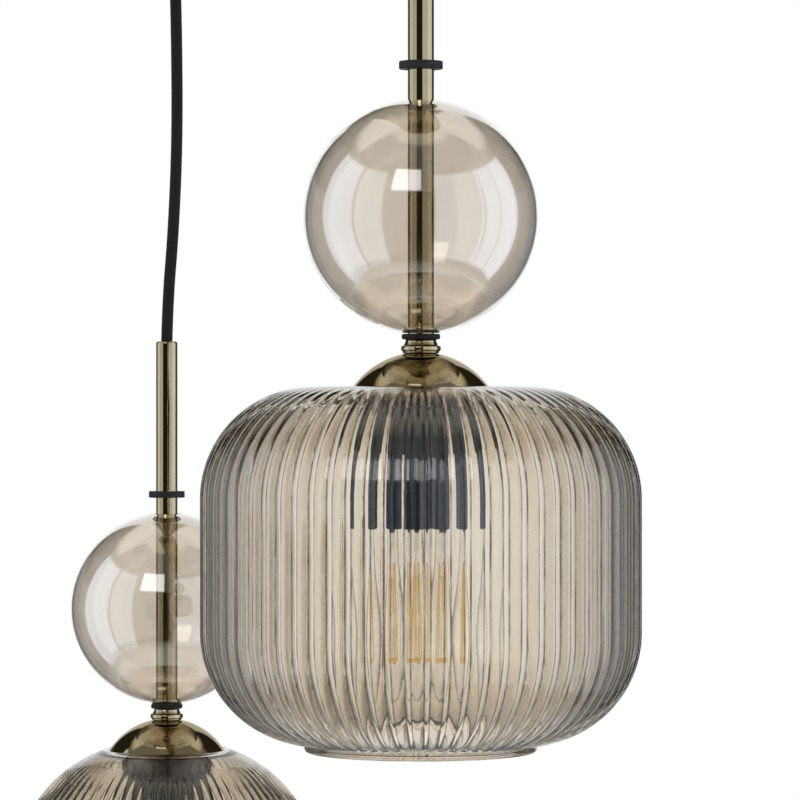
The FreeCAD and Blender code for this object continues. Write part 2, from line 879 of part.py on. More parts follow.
def make_glass_ball(label):
    """Thin blown ball with a wide hole above and a close hole at its foot."""
    inner = ball_radius - S["glass_ball_wall"]
    top_hole = S["glass_ball_top_hole_dia"] / 2
    return revolved(
        label,
        [
            (ball_foot_hole, ball_centre - leg(ball_radius, ball_foot_hole)),
            (ball_radius, ball_centre, ball_radius, 1),
            (top_hole, ball_centre + leg(ball_radius, top_hole), ball_radius, 1),
            (top_hole, ball_centre + leg(inner, top_hole)),
            (inner, ball_centre, inner, -1),
            (ball_foot_hole, ball_centre - leg(inner, ball_foot_hole), inner, -1),
        ],
    )


def make_coupler(label):
    """Turned knuckle: rounded foot, groove, belly, groove, and a neck with a socket for the tube."""
    belly = S["coupler_belly_dia"] / 2
    groove = belly - S["coupler_groove"]
    neck = S["coupler_neck_dia"] / 2
    foot = S["coupler_foot_dia"] / 2
    tenth = S["coupler_height"] / 10
    socket = tube_radius + S["fit_gap"]
    belly_round = S["coupler_height"] / 4
    return revolved(
        label,
        [
            (nipple_hole, dome_top),
            (foot, dome_top),
            (groove, dome_top + tenth * 2.4, belly_round, 1),
            (groove, dome_top + tenth * 3),
            (belly, dome_top + tenth * 4.2, belly_round, 1),
            (belly, dome_top + tenth * 5.4),
            (groove, dome_top + tenth * 6.6, belly_round, 1),
            (neck, dome_top + tenth * 7),
            (neck, coupler_top),
            (socket, coupler_top),
            (socket, tube_foot),
            (nipple_hole, tube_foot),
        ],
    )


def make_dome(label):
    """Spun cap, a slice of a sphere with a flat for the coupler."""
    flat_inside = leg(dome_inner_sphere, dome_inside - dome_centre)
    return revolved(
        label,
        [
            (dome_radius, 0),
            (S["dome_flat_dia"] / 2, dome_top, dome_sphere, 1),
            (nipple_hole, dome_top),
            (nipple_hole, dome_inside),
            (flat_inside, dome_inside),
            (leg(dome_inner_sphere, dome_centre), 0, dome_inner_sphere, -1),
        ],
    )


def make_holder_cap(label):
    """Lampholder's cap: a dome screwed on the nipple, a flange over the glass and a spigot in the body."""
    flange_top = holder_top + S["cap_flange"]
    neck = S["cap_neck_dia"] / 2
    spigot = holder_bore - S["fit_gap"]
    wall = S["cap_wall"]
    dome_foot = spigot + S["cap_wall"]
    return revolved(
        label,
        [
            (spigot - wall, holder_step),
            (spigot, holder_step),
            (spigot, holder_top),
            (S["cap_flange_dia"] / 2, holder_top),
            (S["cap_flange_dia"] / 2, flange_top),
            (dome_foot, flange_top),
            (neck, cap_top, S["cap_dome_radius"], 1),
            (nipple_hole, cap_top),
            (nipple_hole, nipple_foot),
            (neck - wall, nipple_foot),
            (spigot - wall, holder_top, S["cap_dome_radius"] - wall, -1),
        ],
    )


def make_holder_body(label):
    """Tubular skirt that passes the glass, stepped inside for the cap and the insert."""
    bore = insert_radius + S["fit_gap"]
    foot = -S["holder_foot_depth"]
    bevel = S["holder_mouth_bevel"]
    return revolved(
        label,
        [
            (bore + bevel, foot),
            (holder_radius, foot),
            (holder_radius, holder_top),
            (holder_bore, holder_top),
            (holder_bore, holder_step),
            (bore, holder_step),
            (bore, foot + bevel),
        ],
    )


def make_shade_ring(label):
    """Ring screwed up under the glass: a wide flange over a tapered skirt with grip slots."""
    top = -S["shade_wall"]
    foot = top - S["ring_height"]
    under_flange = top - S["ring_flange"]
    ring = revolved(
        label,
        [
            (holder_radius + S["fit_gap"] * 2, foot),
            (S["ring_foot_dia"] / 2, foot),
            (S["ring_skirt_dia"] / 2, under_flange),
            (S["ring_flange_dia"] / 2, under_flange),
            (S["ring_flange_dia"] / 2, top),
            (holder_radius + S["fit_gap"] * 2, top),
        ],
    )
    slot = new_sketch(ring, "XY_Plane", label + "_slot", foot)
    half_slot = S["ring_slot_width"] / 2
    floor = S["ring_foot_dia"] / 2 - S["ring_slot_depth"]
    rectangle(slot, floor, -half_slot, S["ring_skirt_dia"] / 2 + 1, half_slot)
    cut = pocketed(ring, slot, S["ring_height"] - S["ring_slot_start"], label + "_slot_cut", upward=True)
    repeated(ring, cut, S["ring_slot_count"], label + "_slots")
    return ring


def make_insert(label):
    """Ceramic insert with the lamp's pocket below and two wire holes above."""
    foot = -S["insert_foot_depth"]
    insert = revolved(
        label,
        [
            (0, pocket_floor),
            (pocket_radius, pocket_floor),
            (pocket_radius, foot),
            (insert_radius, foot),
            (insert_radius, holder_step),
            (0, holder_step),
        ],
    )
    holes = new_sketch(insert, "XY_Plane", label + "_wire_holes", holder_step)
    for side in (-1, 1):
        circle_at(holes, S["insert_wire_hole_spacing"] / 2 * side, 0, S["insert_wire_hole_dia"] / 2)
    pocketed(insert, holes, holder_step - pocket_floor, label + "_wire_hole_cut")
    return insert


def make_contacts(label):
    """Screw shell and centre contact."""
    outside = pocket_radius - S["fit_gap"]
    shell_foot = -S["insert_foot_depth"] + S["shell_foot_gap"]
    contact = S["contact_dia"] / 2
    under = pocket_floor - S["contact_gauge"]
    shell = revolved(label + "_shell", ring_section(outside - S["shell_wall"], outside, shell_foot, pocket_floor))
    tongue = revolved(
        label + "_tongue",
        [(0, under), (contact, under), (contact, pocket_floor), (0, pocket_floor)],
    )
    return grouped(label, [shell, tongue])


def make_lamp_cap(label):
    """Screw cap with its insulator and contact button, hollow below."""
    outside = S["lamp_cap_dia"] / 2
    wall = S["lamp_cap_wall"]
    button = S["lamp_button_dia"] / 2
    shoulder = lamp_top - S["lamp_cap_shoulder"]
    return revolved(
        label,
        [
            (0, shoulder),
            (outside - wall, shoulder - wall),
            (outside - wall, lamp_rim),
            (outside, lamp_rim),
            (outside, shoulder),
            (button + wall, lamp_top - 1),
            (button, lamp_top),
            (0, lamp_top),
        ],
    )


def lamp_join(sphere, neck_radius):
    """Where the lamp's round end meets the hollow curve of its neck."""
    reach = lamp_radius + S["lamp_neck_radius"]
    across = lamp_neck + S["lamp_neck_radius"]
    up = leg(reach, across)
    return across * sphere / reach, lamp_centre + up * sphere / reach, lamp_centre + up


def make_lamp_glass(label):
    """Pear-shaped glass: a sphere run into a straight neck by a hollow curve."""
    wall = S["lamp_glass_wall"]
    curve = S["lamp_neck_radius"]
    join_x, join_z, neck_z = lamp_join(lamp_radius, lamp_neck)
    inner = lamp_radius - wall
    inner_x, inner_z, _ = lamp_join(inner, lamp_neck)
    top = lamp_rim + S["lamp_seal"]
    return revolved(
        label,
        [
            (0, lamp_centre - lamp_radius),
            (join_x, join_z, lamp_radius, 1),
            (lamp_neck, neck_z, curve, -1),
            (lamp_neck, top),
            (lamp_neck - wall, top),
            (lamp_neck - wall, neck_z),
            (inner_x, inner_z, curve + wall, 1),
            (0, lamp_centre - inner, inner, -1),
        ],
    )


def make_stem(label):
    """Glass stem sealed in the neck, with the rod that steadies the filaments."""
    edge = lamp_neck - S["lamp_glass_wall"] - S["fit_gap"]
    rod_radius = S["stem_rod_dia"] / 2
    stem_foot = seal_top - S["stem_length"]
    rod_foot = seal_top - S["filament_below_seal"] - S["filament_drop"] - S["stem_rod_dia"]
    return revolved(
        label,
        [
            (0, rod_foot),
            (rod_radius, rod_foot),
            (rod_radius, stem_foot),
            (S["stem_tip_dia"] / 2, stem_foot + 1),
            (S["stem_dia"] / 2, seal_top - S["stem_flare"]),
            (edge, seal_top - 1),
            (edge, seal_top),
            (0, seal_top),
        ],
    )


def make_filaments(label):
    """Filament rods that spread downward, with wires from the stem above and the rod below."""
    count = int(S["filament_count"].value)
    top = seal_top.value - S["filament_below_seal"].value
    foot = top - S["filament_drop"].value
    gap = S["fit_gap"].value
    wire = S["support_wire_dia"].value / 2
    stem_radius_there = S["stem_dia"].value / 2
    solids = []
    for index in range(count):
        turn = 2 * math.pi * (index + 0.5) / count
        outward = Vector(math.cos(turn), math.sin(turn), 0)
        upper = outward * S["filament_top_radius"].value + Vector(0, 0, top)
        lower = outward * S["filament_foot_radius"].value + Vector(0, 0, foot)
        stem_side = outward * (stem_radius_there + gap) + Vector(0, 0, top)
        rod_side = outward * (S["stem_rod_dia"].value / 2 + gap) + Vector(0, 0, foot)
        filament = rod(upper, lower, S["filament_dia"].value / 2)
        solids.append(filament.fuse([rod(stem_side, upper, wire), rod(rod_side, lower, wire)]))
    return shaped(label, Part.makeCompound(solids))


# Ribbed glass: ruled between rings of arcs, one arc per rib


def rib_ring(radius, height, across, upward, depth):
    """A closed ring of arcs. Each arc crests on the outline and meets the next one depth below it."""
    count = int(S["rib_count"].value)
    pitch = 2 * math.pi / count
    valley_radius = radius - depth * across
    valley_height = height - depth * upward

    def point(at_radius, at_height, turn):
        return Vector(at_radius * math.cos(turn), at_radius * math.sin(turn), at_height)

    arcs = []
    for index in range(count):
        crest = point(radius, height, index * pitch)
        start = point(valley_radius, valley_height, (index - 0.5) * pitch)
        end = point(valley_radius, valley_height, (index + 0.5) * pitch)
        arcs.append(Part.Arc(start, crest, end).toShape())
    return Part.Wire(arcs)


def faded(run):
    """Rib depth at a distance along the outline from its nearer smooth end."""
    share = min(run / S["rib_run_in"].value, 1.0)
    return S["rib_depth"].value * share * share * (3 - 2 * share)


def rib_rings(outline):
    """Rings along an outline of (radius, height, across, upward), with ribs that fade at both ends."""
    runs = [0.0]
    for before, after in zip(outline, outline[1:]):
        runs.append(runs[-1] + math.hypot(after[0] - before[0], after[1] - before[1]))
    return [
        rib_ring(radius, height, across, upward, faded(min(run, runs[-1] - run)))
        for (radius, height, across, upward), run in zip(outline, runs)
    ]


def arc_outline(centre_x, centre_z, radius, first, last, steps):
    """Points on an arc in the section plane from angle first to last, with their outward direction."""
    turns = [first + (last - first) * index / steps for index in range(steps + 1)]
    return [
        (centre_x + radius * math.cos(turn), centre_z + radius * math.sin(turn), math.cos(turn), math.sin(turn))
        for turn in turns
    ]


def turned(points):
    """A solid turned from section points (x, z), where (x, z, mid_x, mid_z) is reached by an arc."""
    edges = []
    for before, after in zip(points, points[1:] + points[:1]):
        start, end = Vector(before[0], 0, before[1]), Vector(after[0], 0, after[1])
        if len(after) == 4:
            edges.append(Part.Arc(start, Vector(after[2], 0, after[3]), end).toShape())
        else:
            edges.append(Part.LineSegment(start, end).toShape())
    return Part.Face(Part.Wire(edges)).revolve(Vector(), Vector(0, 0, 1), FULL_TURN)


def glass_shade(label, outline, hollow, foot_radius, foot_under):
    """Ribbed body with a plain foot ring, hollowed, with a recessed seat and a hole for the holder."""
    ribbed = Part.makeLoft(rib_rings(outline), True, True)
    bevel = S["foot_bevel"].value
    foot_top = outline[-1][1] + S["shade_wall"].value / 2
    foot = turned(
        [
            (0, foot_under),
            (foot_radius - bevel, foot_under),
            (foot_radius, foot_under + bevel),
            (foot_radius, foot_top),
            (0, foot_top),
        ]
    )
    recess_top = S["seat_recess"].value
    seat = turned(
        [
            (0, 0),
            (seat_radius.value, 0),
            (rib_start_radius.value, recess_top),
            (rib_start_radius.value, recess_top + 1),
            (0, recess_top + 1),
        ]
    )
    hole = rod(Vector(0, 0, -2 * S["shade_wall"].value), Vector(0, 0, 1), S["shade_hole_dia"].value / 2)
    return shaped(label, ribbed.fuse(foot).cut([hollow, seat, hole]))


def make_drum_shade(label):
    """Round-shouldered drum: a flat top, a quarter round, a straight wall and a quarter round to the foot."""
    radius = S["drum_dia"].value / 2
    shoulder = S["drum_shoulder_radius"].value
    wall = S["shade_wall"].value
    steps = int(S["shoulder_steps"].value)
    top = S["seat_recess"].value
    foot_under = -S["drum_height"].value
    foot_radius = S["drum_foot_dia"].value / 2
    centre_x = radius - shoulder
    upper, lower = top - shoulder, foot_under + S["foot_height"].value + shoulder
    start = rib_start_radius.value
    flat = [(start + (centre_x - start) * share / 3, top, 0.0, 1.0) for share in range(3)]
    last = -math.acos((foot_radius + wall / 2 - centre_x) / shoulder)
    outline = flat + arc_outline(centre_x, upper, shoulder, math.pi / 2, 0, steps)
    outline += arc_outline(centre_x, lower, shoulder, 0, last, steps)
    inner = shoulder - wall
    foot_inside = foot_radius - wall
    foot_turn = -math.acos((foot_inside - centre_x) / inner)
    hollow = turned(
        [
            (0, -wall),
            (seat_radius.value, -wall),
            (start + wall, top - wall),
            (centre_x, top - wall),
            (
                centre_x + inner,
                upper,
                centre_x + inner * math.cos(math.pi / 4),
                upper + inner * math.sin(math.pi / 4),
            ),
            (centre_x + inner, lower),
            (
                foot_inside,
                lower + inner * math.sin(foot_turn),
                centre_x + inner * math.cos(foot_turn / 2),
                lower + inner * math.sin(foot_turn / 2),
            ),
            (foot_inside, foot_under - 1),
            (0, foot_under - 1),
        ]
    )
    return glass_shade(label, outline, hollow, foot_radius, foot_under)


def make_globe_shade(label):
    """Globe cut by its seat above and its foot ring below."""
    radius = S["globe_dia"].value / 2
    wall = S["shade_wall"].value
    top = S["seat_recess"].value
    start = rib_start_radius.value
    foot_radius = S["globe_foot_dia"].value / 2
    centre = top - math.sqrt(radius * radius - start * start)
    first = math.acos(start / radius)
    last = -math.acos((foot_radius + wall / 2) / radius)
    outline = arc_outline(0, centre, radius, first, last, 2 * int(S["shoulder_steps"].value))
    foot_under = centre - math.sqrt(radius * radius - foot_radius * foot_radius) - S["foot_height"].value
    inner = radius - wall
    foot_inside = foot_radius - wall
    top_inside = math.sqrt(inner * inner - (centre + wall) ** 2)
    hollow = turned(
        [
            (0, -wall),
            (top_inside, -wall),
            (foot_inside, centre - math.sqrt(inner * inner - foot_inside * foot_inside), inner, centre),
            (foot_inside, foot_under - 1),
            (0, foot_under - 1),
        ]
    )
    return glass_shade(label, outline, hollow, foot_radius, foot_under)


def make_drop(prefix, side, seat_depth, ring_above_ball, bow, make_shade):
    """Every piece of one drop, each placed under its outlet and at its own seat depth."""
    ring_middle = ball_centre + ring_above_ball
    half_ring = S["stop_ring_height"] / 2
    ring_inside = tube_radius + S["slide_gap"]
    bush_top = tube_head - S["bush_recess"]
    bush = ring_section(cord_radius + S["fit_gap"], tube_bore - S["fit_gap"], bush_top - S["bush_length"], bush_top)
    inner_cord = [(0, holder_top), (cord_radius, holder_top), (cord_radius, tube_head), (0, tube_head)]
    gasket = ring_section(
        tube_radius + S["fit_gap"], S["gasket_dia"] / 2, coupler_top, gasket_top, S["gasket_round"]
    )
    stop_ring = ring_section(
        ring_inside,
        S["stop_ring_dia"] / 2,
        ring_middle - half_ring,
        ring_middle + half_ring,
        S["stop_ring_round"],
    )
    nipple = ring_section(S["nipple_bore_dia"] / 2, nipple_radius, nipple_foot, nipple_top)
    washer = ring_section(holder_radius + S["cord_gap"], S["washer_dia"] / 2, as_size(0), holder_top)
    pieces = [
        make_cord(prefix + "cord", bow, seat_depth),
        revolved(prefix + "tube_bush", bush),
        make_tube(prefix + "tube"),
        revolved(prefix + "inner_cord", inner_cord),
        revolved(prefix + "stop_ring", stop_ring),
        make_glass_ball(prefix + "glass_ball"),
        revolved(prefix + "ball_gasket", gasket),
        make_coupler(prefix + "coupler"),
        revolved(prefix + "nipple", nipple),
        make_dome(prefix + "dome"),
        revolved(prefix + "seat_washer", washer),
        make_shade(prefix + "shade"),
        make_shade_ring(prefix + "shade_ring"),
        make_holder_cap(prefix + "holder_cap"),
        make_holder_body(prefix + "holder_body"),
        make_insert(prefix + "holder_insert"),
        make_contacts(prefix + "holder_contacts"),
        make_lamp_cap(prefix + "bulb_cap"),
        make_lamp_glass(prefix + "bulb_glass"),
        make_stem(prefix + "bulb_stem"),
        make_filaments(prefix + "bulb_filaments"),
    ]
    for piece in pieces:
        put(piece, half_spacing * side, 0, -seat_depth)
    nut = hex_nut(prefix + "nipple_nut", S["nipple_nut_flats"], nipple_hole, S["nipple_nut_height"])
    pieces.append(put(nut, half_spacing * side, 0, cap_top - seat_depth))
    return pieces


nodes += [
    make_bracket(),
    make_canopy(),
    make_end_screws(),
    make_terminal_block(),
    make_terminal_screws(),
    make_block_screws(),
    make_earth_screw(),
    make_leads("drum_leads", 1),
    make_leads("globe_leads", -1),
    make_pair("outlet_bodies", outlet_body),
    make_pair("outlet_rings", outlet_ring),
    make_pair("outlet_nuts", outlet_nut, plate_inside),
    make_swivel_ball("drum_swivel_ball", 1),
    make_swivel_ball("globe_swivel_ball", -1),
]
nodes += make_drop("drum_", 1, S["drum_seat_depth"], S["drum_ring_above_ball"], DRUM_BOW, make_drum_shade)
nodes += make_drop("globe_", -1, S["globe_seat_depth"], S["globe_ring_above_ball"], GLOBE_BOW, make_globe_shade)

doc.recompute()
for thing in doc.Objects:
    if "Invalid" in thing.State or "Error" in thing.State:
        raise RuntimeError(f"{thing.Name} did not compute: {thing.State}")
os.makedirs("parts", exist_ok=True)
for node in nodes:
    if node.Shape.isNull() or not node.Shape.isValid():
        raise RuntimeError(f"{node.Label} has no valid shape")
    node.Shape.exportStep(f"parts/{node.Label}.step")
print(len(nodes), "pieces written")
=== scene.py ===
"""Dresses the cluster pendant: brass, black trim, and a clear ball over a ribbed shade on each drop."""

import json
import math

import bmesh
import bpy
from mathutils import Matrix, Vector


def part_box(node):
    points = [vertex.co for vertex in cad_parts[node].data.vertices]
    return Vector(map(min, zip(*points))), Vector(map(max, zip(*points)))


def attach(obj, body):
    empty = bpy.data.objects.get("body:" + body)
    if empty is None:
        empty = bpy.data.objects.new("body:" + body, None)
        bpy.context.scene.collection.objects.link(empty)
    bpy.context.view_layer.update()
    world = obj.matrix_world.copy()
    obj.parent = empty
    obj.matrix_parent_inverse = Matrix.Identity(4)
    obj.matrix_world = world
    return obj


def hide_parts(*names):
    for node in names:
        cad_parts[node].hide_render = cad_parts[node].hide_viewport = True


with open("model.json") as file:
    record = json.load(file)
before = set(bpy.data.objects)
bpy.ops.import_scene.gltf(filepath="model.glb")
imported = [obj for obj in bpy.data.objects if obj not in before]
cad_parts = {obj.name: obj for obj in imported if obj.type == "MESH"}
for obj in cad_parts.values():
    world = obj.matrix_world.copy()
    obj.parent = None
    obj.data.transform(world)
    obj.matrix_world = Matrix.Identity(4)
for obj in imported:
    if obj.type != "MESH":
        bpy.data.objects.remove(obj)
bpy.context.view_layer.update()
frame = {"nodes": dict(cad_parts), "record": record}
NODES = frame["nodes"]
MM = 0.001
DROPS = ("drum", "globe")
UP = Vector((0, 0, 1))


def middle(node):
    """The point halfway between a node's lowest and highest corners."""
    low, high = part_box(node)
    return (low + high) / 2


# The point that each drop hangs from
AXES = {drop: middle(f"{drop}_swivel_ball") for drop in DROPS}


# Camera: level and off to one side of the plate, so that the globe hangs behind and to the left of the drum

VIEW_AZIMUTH = math.radians(161.15)
FORWARD = Vector((math.cos(VIEW_AZIMUTH), math.sin(VIEW_AZIMUTH), 0))
RIGHT = Vector((FORWARD.y, -FORWARD.x, 0))
EYE_DISTANCE = 1.8
EYE_SIDE_STEP = -0.0095
EYE_LEVEL = -0.3545
LENS = 178.2
SENSOR = 36.0
NEAREST = 0.05
FARTHEST = 30


def make_camera():
    """A long lens at the drops' height, pointed along FORWARD."""
    data = bpy.data.cameras.new("camera")
    data.lens = LENS
    data.sensor_width = SENSOR
    data.clip_start = NEAREST
    data.clip_end = FARTHEST
    camera = bpy.data.objects.new("camera", data)
    place = AXES["drum"] - FORWARD * EYE_DISTANCE + RIGHT * EYE_SIDE_STEP
    place.z = EYE_LEVEL
    camera.location = place
    camera.rotation_euler = FORWARD.to_track_quat("-Z", "Y").to_euler()
    bpy.context.scene.collection.objects.link(camera)
    bpy.context.scene.camera = camera


# Node graphs, for materials and for the world

# A mix node's colour sockets, by number, since its other sockets have the same names
MIX_COLOURS = (6, 7)
MIX_RESULT = 2

# Noise values between which a surface goes from its dark tone to its light one
MOTTLE = (0.3, 0.7)
CORD_MOTTLE = (0.3, 0.75)
SOFT_MOTTLE = (0.35, 0.65)


class Graph:
    """A node tree, with short ways to add nodes to it."""

    def __init__(self, tree):
        self.tree = tree

    def wire(self, socket, value):
        """Links the socket to an output, or gives it a value, where three numbers make an opaque colour."""
        if isinstance(value, bpy.types.NodeSocket):
            self.tree.links.new(value, socket)
        elif socket.type == "RGBA":
            socket.default_value = (*value, 1)
        else:
            socket.default_value = value

    def set(self, node, **inputs):
        """Wires a node's inputs by their names, written with underscores for spaces."""
        for name, value in inputs.items():
            self.wire(node.inputs[name.replace("_", " ")], value)

    def add(self, kind, settings=None, **inputs):
        """A new node with its settings and its inputs."""
        node = self.tree.nodes.new(kind)
        for name, value in (settings or {}).items():
            setattr(node, name, value)
        self.set(node, **inputs)
        return node

    def maths(self, operation, *values, kind="ShaderNodeMath", **settings):
        """The number that an operation makes of its values."""
        node = self.add(kind, {"operation": operation, **settings})
        for socket, value in zip(node.inputs, values):
            self.wire(socket, value)
        return node.outputs["Value"]

    def vector_maths(self, operation, *values):
        """The number that an operation makes of vectors."""
        return self.maths(operation, *values, kind="ShaderNodeVectorMath")

    def noise(self, scale, detail, roughness, stretch=None):
        """Noise over the object, with a stretch for grain that runs one way."""
        vector = self.add("ShaderNodeTexCoord").outputs["Object"]
        if stretch:
            vector = self.add("ShaderNodeMapping", Vector=vector, Scale=stretch).outputs["Vector"]
        node = self.add("ShaderNodeTexNoise", Vector=vector, Scale=scale, Detail=detail, Roughness=roughness)
        return node.outputs["Fac"]

    def ranged(self, share, low, high):
        """Low to high as share goes from 0 to 1."""
        return self.add("ShaderNodeMapRange", Value=share, To_Min=low, To_Max=high).outputs["Result"]

    def smooth_step(self, value, low, high):
        """0 to 1, smoothly, as value goes from low to high."""
        settings = {"interpolation_type": "SMOOTHSTEP"}
        node = self.add("ShaderNodeMapRange", settings, Value=value, From_Min=low, From_Max=high)
        return node.outputs["Result"]

    def tones(self, share, dark, light, stops=MOTTLE):
        """Dark up to the first stop, light from the last one, and a blend between them."""
        ramp = self.add("ShaderNodeValToRGB", Fac=share)
        for element, position, colour in zip(ramp.color_ramp.elements, stops, (dark, light)):
            element.position = position
            element.color = (*colour, 1)
        return ramp.outputs["Color"]

    def blend(self, first, second, share):
        """First colour turning to second as share goes from 0 to 1."""
        mix = self.add("ShaderNodeMix", {"data_type": "RGBA"}, Factor=share)
        for index, colour in zip(MIX_COLOURS, (first, second)):
            self.wire(mix.inputs[index], colour)
        return mix.outputs[MIX_RESULT]

    def bump(self, height, strength, distance):
        """A normal disturbed by a height."""
        node = self.add("ShaderNodeBump", Height=height, Strength=strength, Distance=distance)
        return node.outputs["Normal"]

    def surface(self, shader, other, share):
        """Shows the shader where share is 0 and the other where it is 1."""
        mix = self.add("ShaderNodeMixShader", Fac=share)
        self.wire(mix.inputs[1], shader.outputs["BSDF"])
        self.wire(mix.inputs[2], other.outputs["BSDF"])
        self.wire(self.tree.nodes["Material Output"].inputs["Surface"], mix.outputs["Shader"])


# Materials. A slant, turn, start or end is the pair of values between which its tint comes in.

SHADE_TONES = ((0.865, 0.81, 0.71), (0.90, 0.855, 0.775))
SHADE_SLANTED = (0.67, 0.595, 0.465)
SHADE_SLANT = (0.02, 0.28)
# Grey at the shade's edges: the longer path through the glass, and a painted reflection of the grey
# surroundings
SHADE_EDGE_PATH_AND_REFLECTION = (0.58, 0.57, 0.54)
SHADE_TURN = (0.34, 0.95)
SHADE_SHADOW = (0.80, 0.74, 0.66)
# Paler valleys: partly the thinner glass there, and partly a painted highlight
THIN_GLASS_AND_HIGHLIGHT_TINT = (0.97, 0.955, 0.93)
THIN_GLASS_AND_HIGHLIGHT_START = (0.74, 0.86)
# Painted shade: dark lines beside each reed valley, given by their tint, where they start and end, and their
# breaks
PAINTED_SHADE_TINT = (0.05, 0.035, 0.02)
PAINTED_SHADE_START = (0.54, 0.64)
PAINTED_SHADE_END = (0.82, 0.72)
PAINTED_SHADE_GRAIN = (-0.3, 1.9)
GLASS_MOTTLE = 0.96
GLASS_TURN = (0.55, 1.0)


def new_material(name):
    """A material with its graph and its Principled shader."""
    material = bpy.data.materials.new(name)
    material.use_nodes = True
    return material, Graph(material.node_tree), material.node_tree.nodes["Principled BSDF"]


def brass_material():
    """Antique brass with a fine upright grain."""
    material, graph, shader = new_material("antique_brass")
    tone = graph.noise(scale=60.0, detail=5.0, roughness=0.6)
    grain = graph.noise(scale=900.0, detail=3.0, roughness=0.5, stretch=(1, 1, 0.03))
    graph.set(
        shader,
        Base_Color=graph.tones(tone, dark=(0.345, 0.288, 0.165), light=(0.39, 0.33, 0.193)),
        Roughness=graph.ranged(grain, 0.03, 0.075),
        Metallic=1.0,
        Specular_Tint=(0.75, 0.72, 0.66),
        Normal=graph.bump(grain, strength=0.02, distance=0.2 * MM),
    )
    return material


def steel_material():
    """Zinc-plated steel, uneven in tone and gloss."""
    material, graph, shader = new_material("zinc_steel")
    tone = graph.noise(scale=180.0, detail=6.0, roughness=0.6)
    graph.set(
        shader,
        Base_Color=graph.tones(tone, dark=(0.50, 0.50, 0.49), light=(0.66, 0.66, 0.65)),
        Roughness=graph.ranged(tone, 0.25, 0.42),
        Metallic=1.0,
        Normal=graph.bump(tone, strength=0.1, distance=0.3 * MM),
    )
    return material


def cord_material():
    """Black textile, without much sheen."""
    material, graph, shader = new_material("braided_textile")
    tone = graph.noise(scale=1400.0, detail=4.0, roughness=0.7)
    graph.set(
        shader,
        Base_Color=graph.tones(tone, (0.004, 0.004, 0.004), (0.017, 0.016, 0.016), stops=CORD_MOTTLE),
        Roughness=0.85,
        Specular_IOR_Level=0.2,
        Sheen_Weight=0.04,
        Sheen_Roughness=0.5,
        Normal=graph.bump(tone, strength=0.4, distance=0.1 * MM),
    )
    return material


def plain_material(name, dark, light, rough, scale, relief, **values):
    """A moulded, rubber or plain metal surface: slight mottle, uneven gloss and a fine bump."""
    material, graph, shader = new_material(name)
    tone = graph.noise(scale, detail=5.0, roughness=0.6)
    fine = graph.noise(scale * 6, detail=3.0, roughness=0.5)
    graph.set(
        shader,
        Base_Color=graph.tones(tone, dark, light),
        Roughness=graph.ranged(tone, *rough),
        Normal=graph.bump(fine, relief, distance=0.2 * MM),
        **values,
    )
    return material


def lit_through(graph, shader, tint):
    """Lets lamplight and soft light pass through glass, tinted, so that what is behind it is lit."""
    clear = graph.add("ShaderNodeBsdfTransparent", Color=tint)
    path = graph.add("ShaderNodeLightPath")
    passing = graph.maths("MAXIMUM", path.outputs["Is Shadow Ray"], path.outputs["Is Diffuse Ray"])
    graph.surface(shader, clear, passing)


def at_edges(graph, low, high):
    """0 where glass faces the eye and 1 where it turns away, as the way through its wall gets longer."""
    facing = graph.add("ShaderNodeLayerWeight", Blend=0.5).outputs["Facing"]
    return graph.smooth_step(facing, low, high)


def glass_material(name, tint, edge, ior, **values):
    """Clear blown glass, a little darker at its edges."""
    material, graph, shader = new_material(name)
    tone = graph.noise(scale=25.0, detail=3.0, roughness=0.5)
    darker = tuple(channel * GLASS_MOTTLE for channel in tint)
    colour = graph.tones(tone, darker, tint, SOFT_MOTTLE)
    colour = graph.blend(colour, edge, at_edges(graph, *GLASS_TURN))
    graph.set(shader, Base_Color=colour, Roughness=0.0, IOR=ior, Transmission_Weight=1.0, **values)
    lit_through(graph, shader, tint)
    return material


def painted_shade_share(graph, valley):
    """How dark the painted shade lines beside the valleys are: uneven, and gone in the valleys and on the
    crowns.
    """
    line = graph.maths(
        "MULTIPLY", graph.smooth_step(valley, *PAINTED_SHADE_START), graph.smooth_step(valley, *PAINTED_SHADE_END)
    )
    grain = graph.noise(scale=500.0, detail=3.0, roughness=0.6, stretch=(1, 1, 0.12))
    return graph.maths("MULTIPLY", line, graph.ranged(grain, *PAINTED_SHADE_GRAIN), use_clamp=True)


def shade_glass_material():
    """Pressed tea-coloured glass, greyer at its edges, with painted shade lines beside valleys paled by
    thinner glass and a painted highlight.
    """
    material, graph, shader = new_material("shade_glass")
    tone = graph.noise(scale=9.0, detail=2.0, roughness=0.5)
    colour = graph.tones(tone, *SHADE_TONES, SOFT_MOTTLE)
    colour = graph.blend(colour, SHADE_SLANTED, at_edges(graph, *SHADE_SLANT))
    # Greyer where the glass turns away: longer path through it, and a painted reflection
    colour = graph.blend(colour, SHADE_EDGE_PATH_AND_REFLECTION, at_edges(graph, *SHADE_TURN))
    valley = graph.add("ShaderNodeAttribute", {"attribute_name": "valley"}).outputs["Fac"]
    # Valleys paler: thinner glass, and a painted highlight
    colour = graph.blend(colour, THIN_GLASS_AND_HIGHLIGHT_TINT, graph.smooth_step(valley, *THIN_GLASS_AND_HIGHLIGHT_START))
    # Painted shade: dark lines beside the valleys
    colour = graph.blend(colour, PAINTED_SHADE_TINT, painted_shade_share(graph, valley))
    fine = graph.noise(scale=700.0, detail=3.0, roughness=0.5)
    graph.set(
        shader,
        Base_Color=colour,
        Roughness=0.0,
        IOR=1.5,
        Transmission_Weight=1.0,
        Specular_IOR_Level=0.95,
        Normal=graph.bump(fine, strength=0.05, distance=0.2 * MM),
    )
    lit_through(graph, shader, SHADE_SHADOW)
    return material


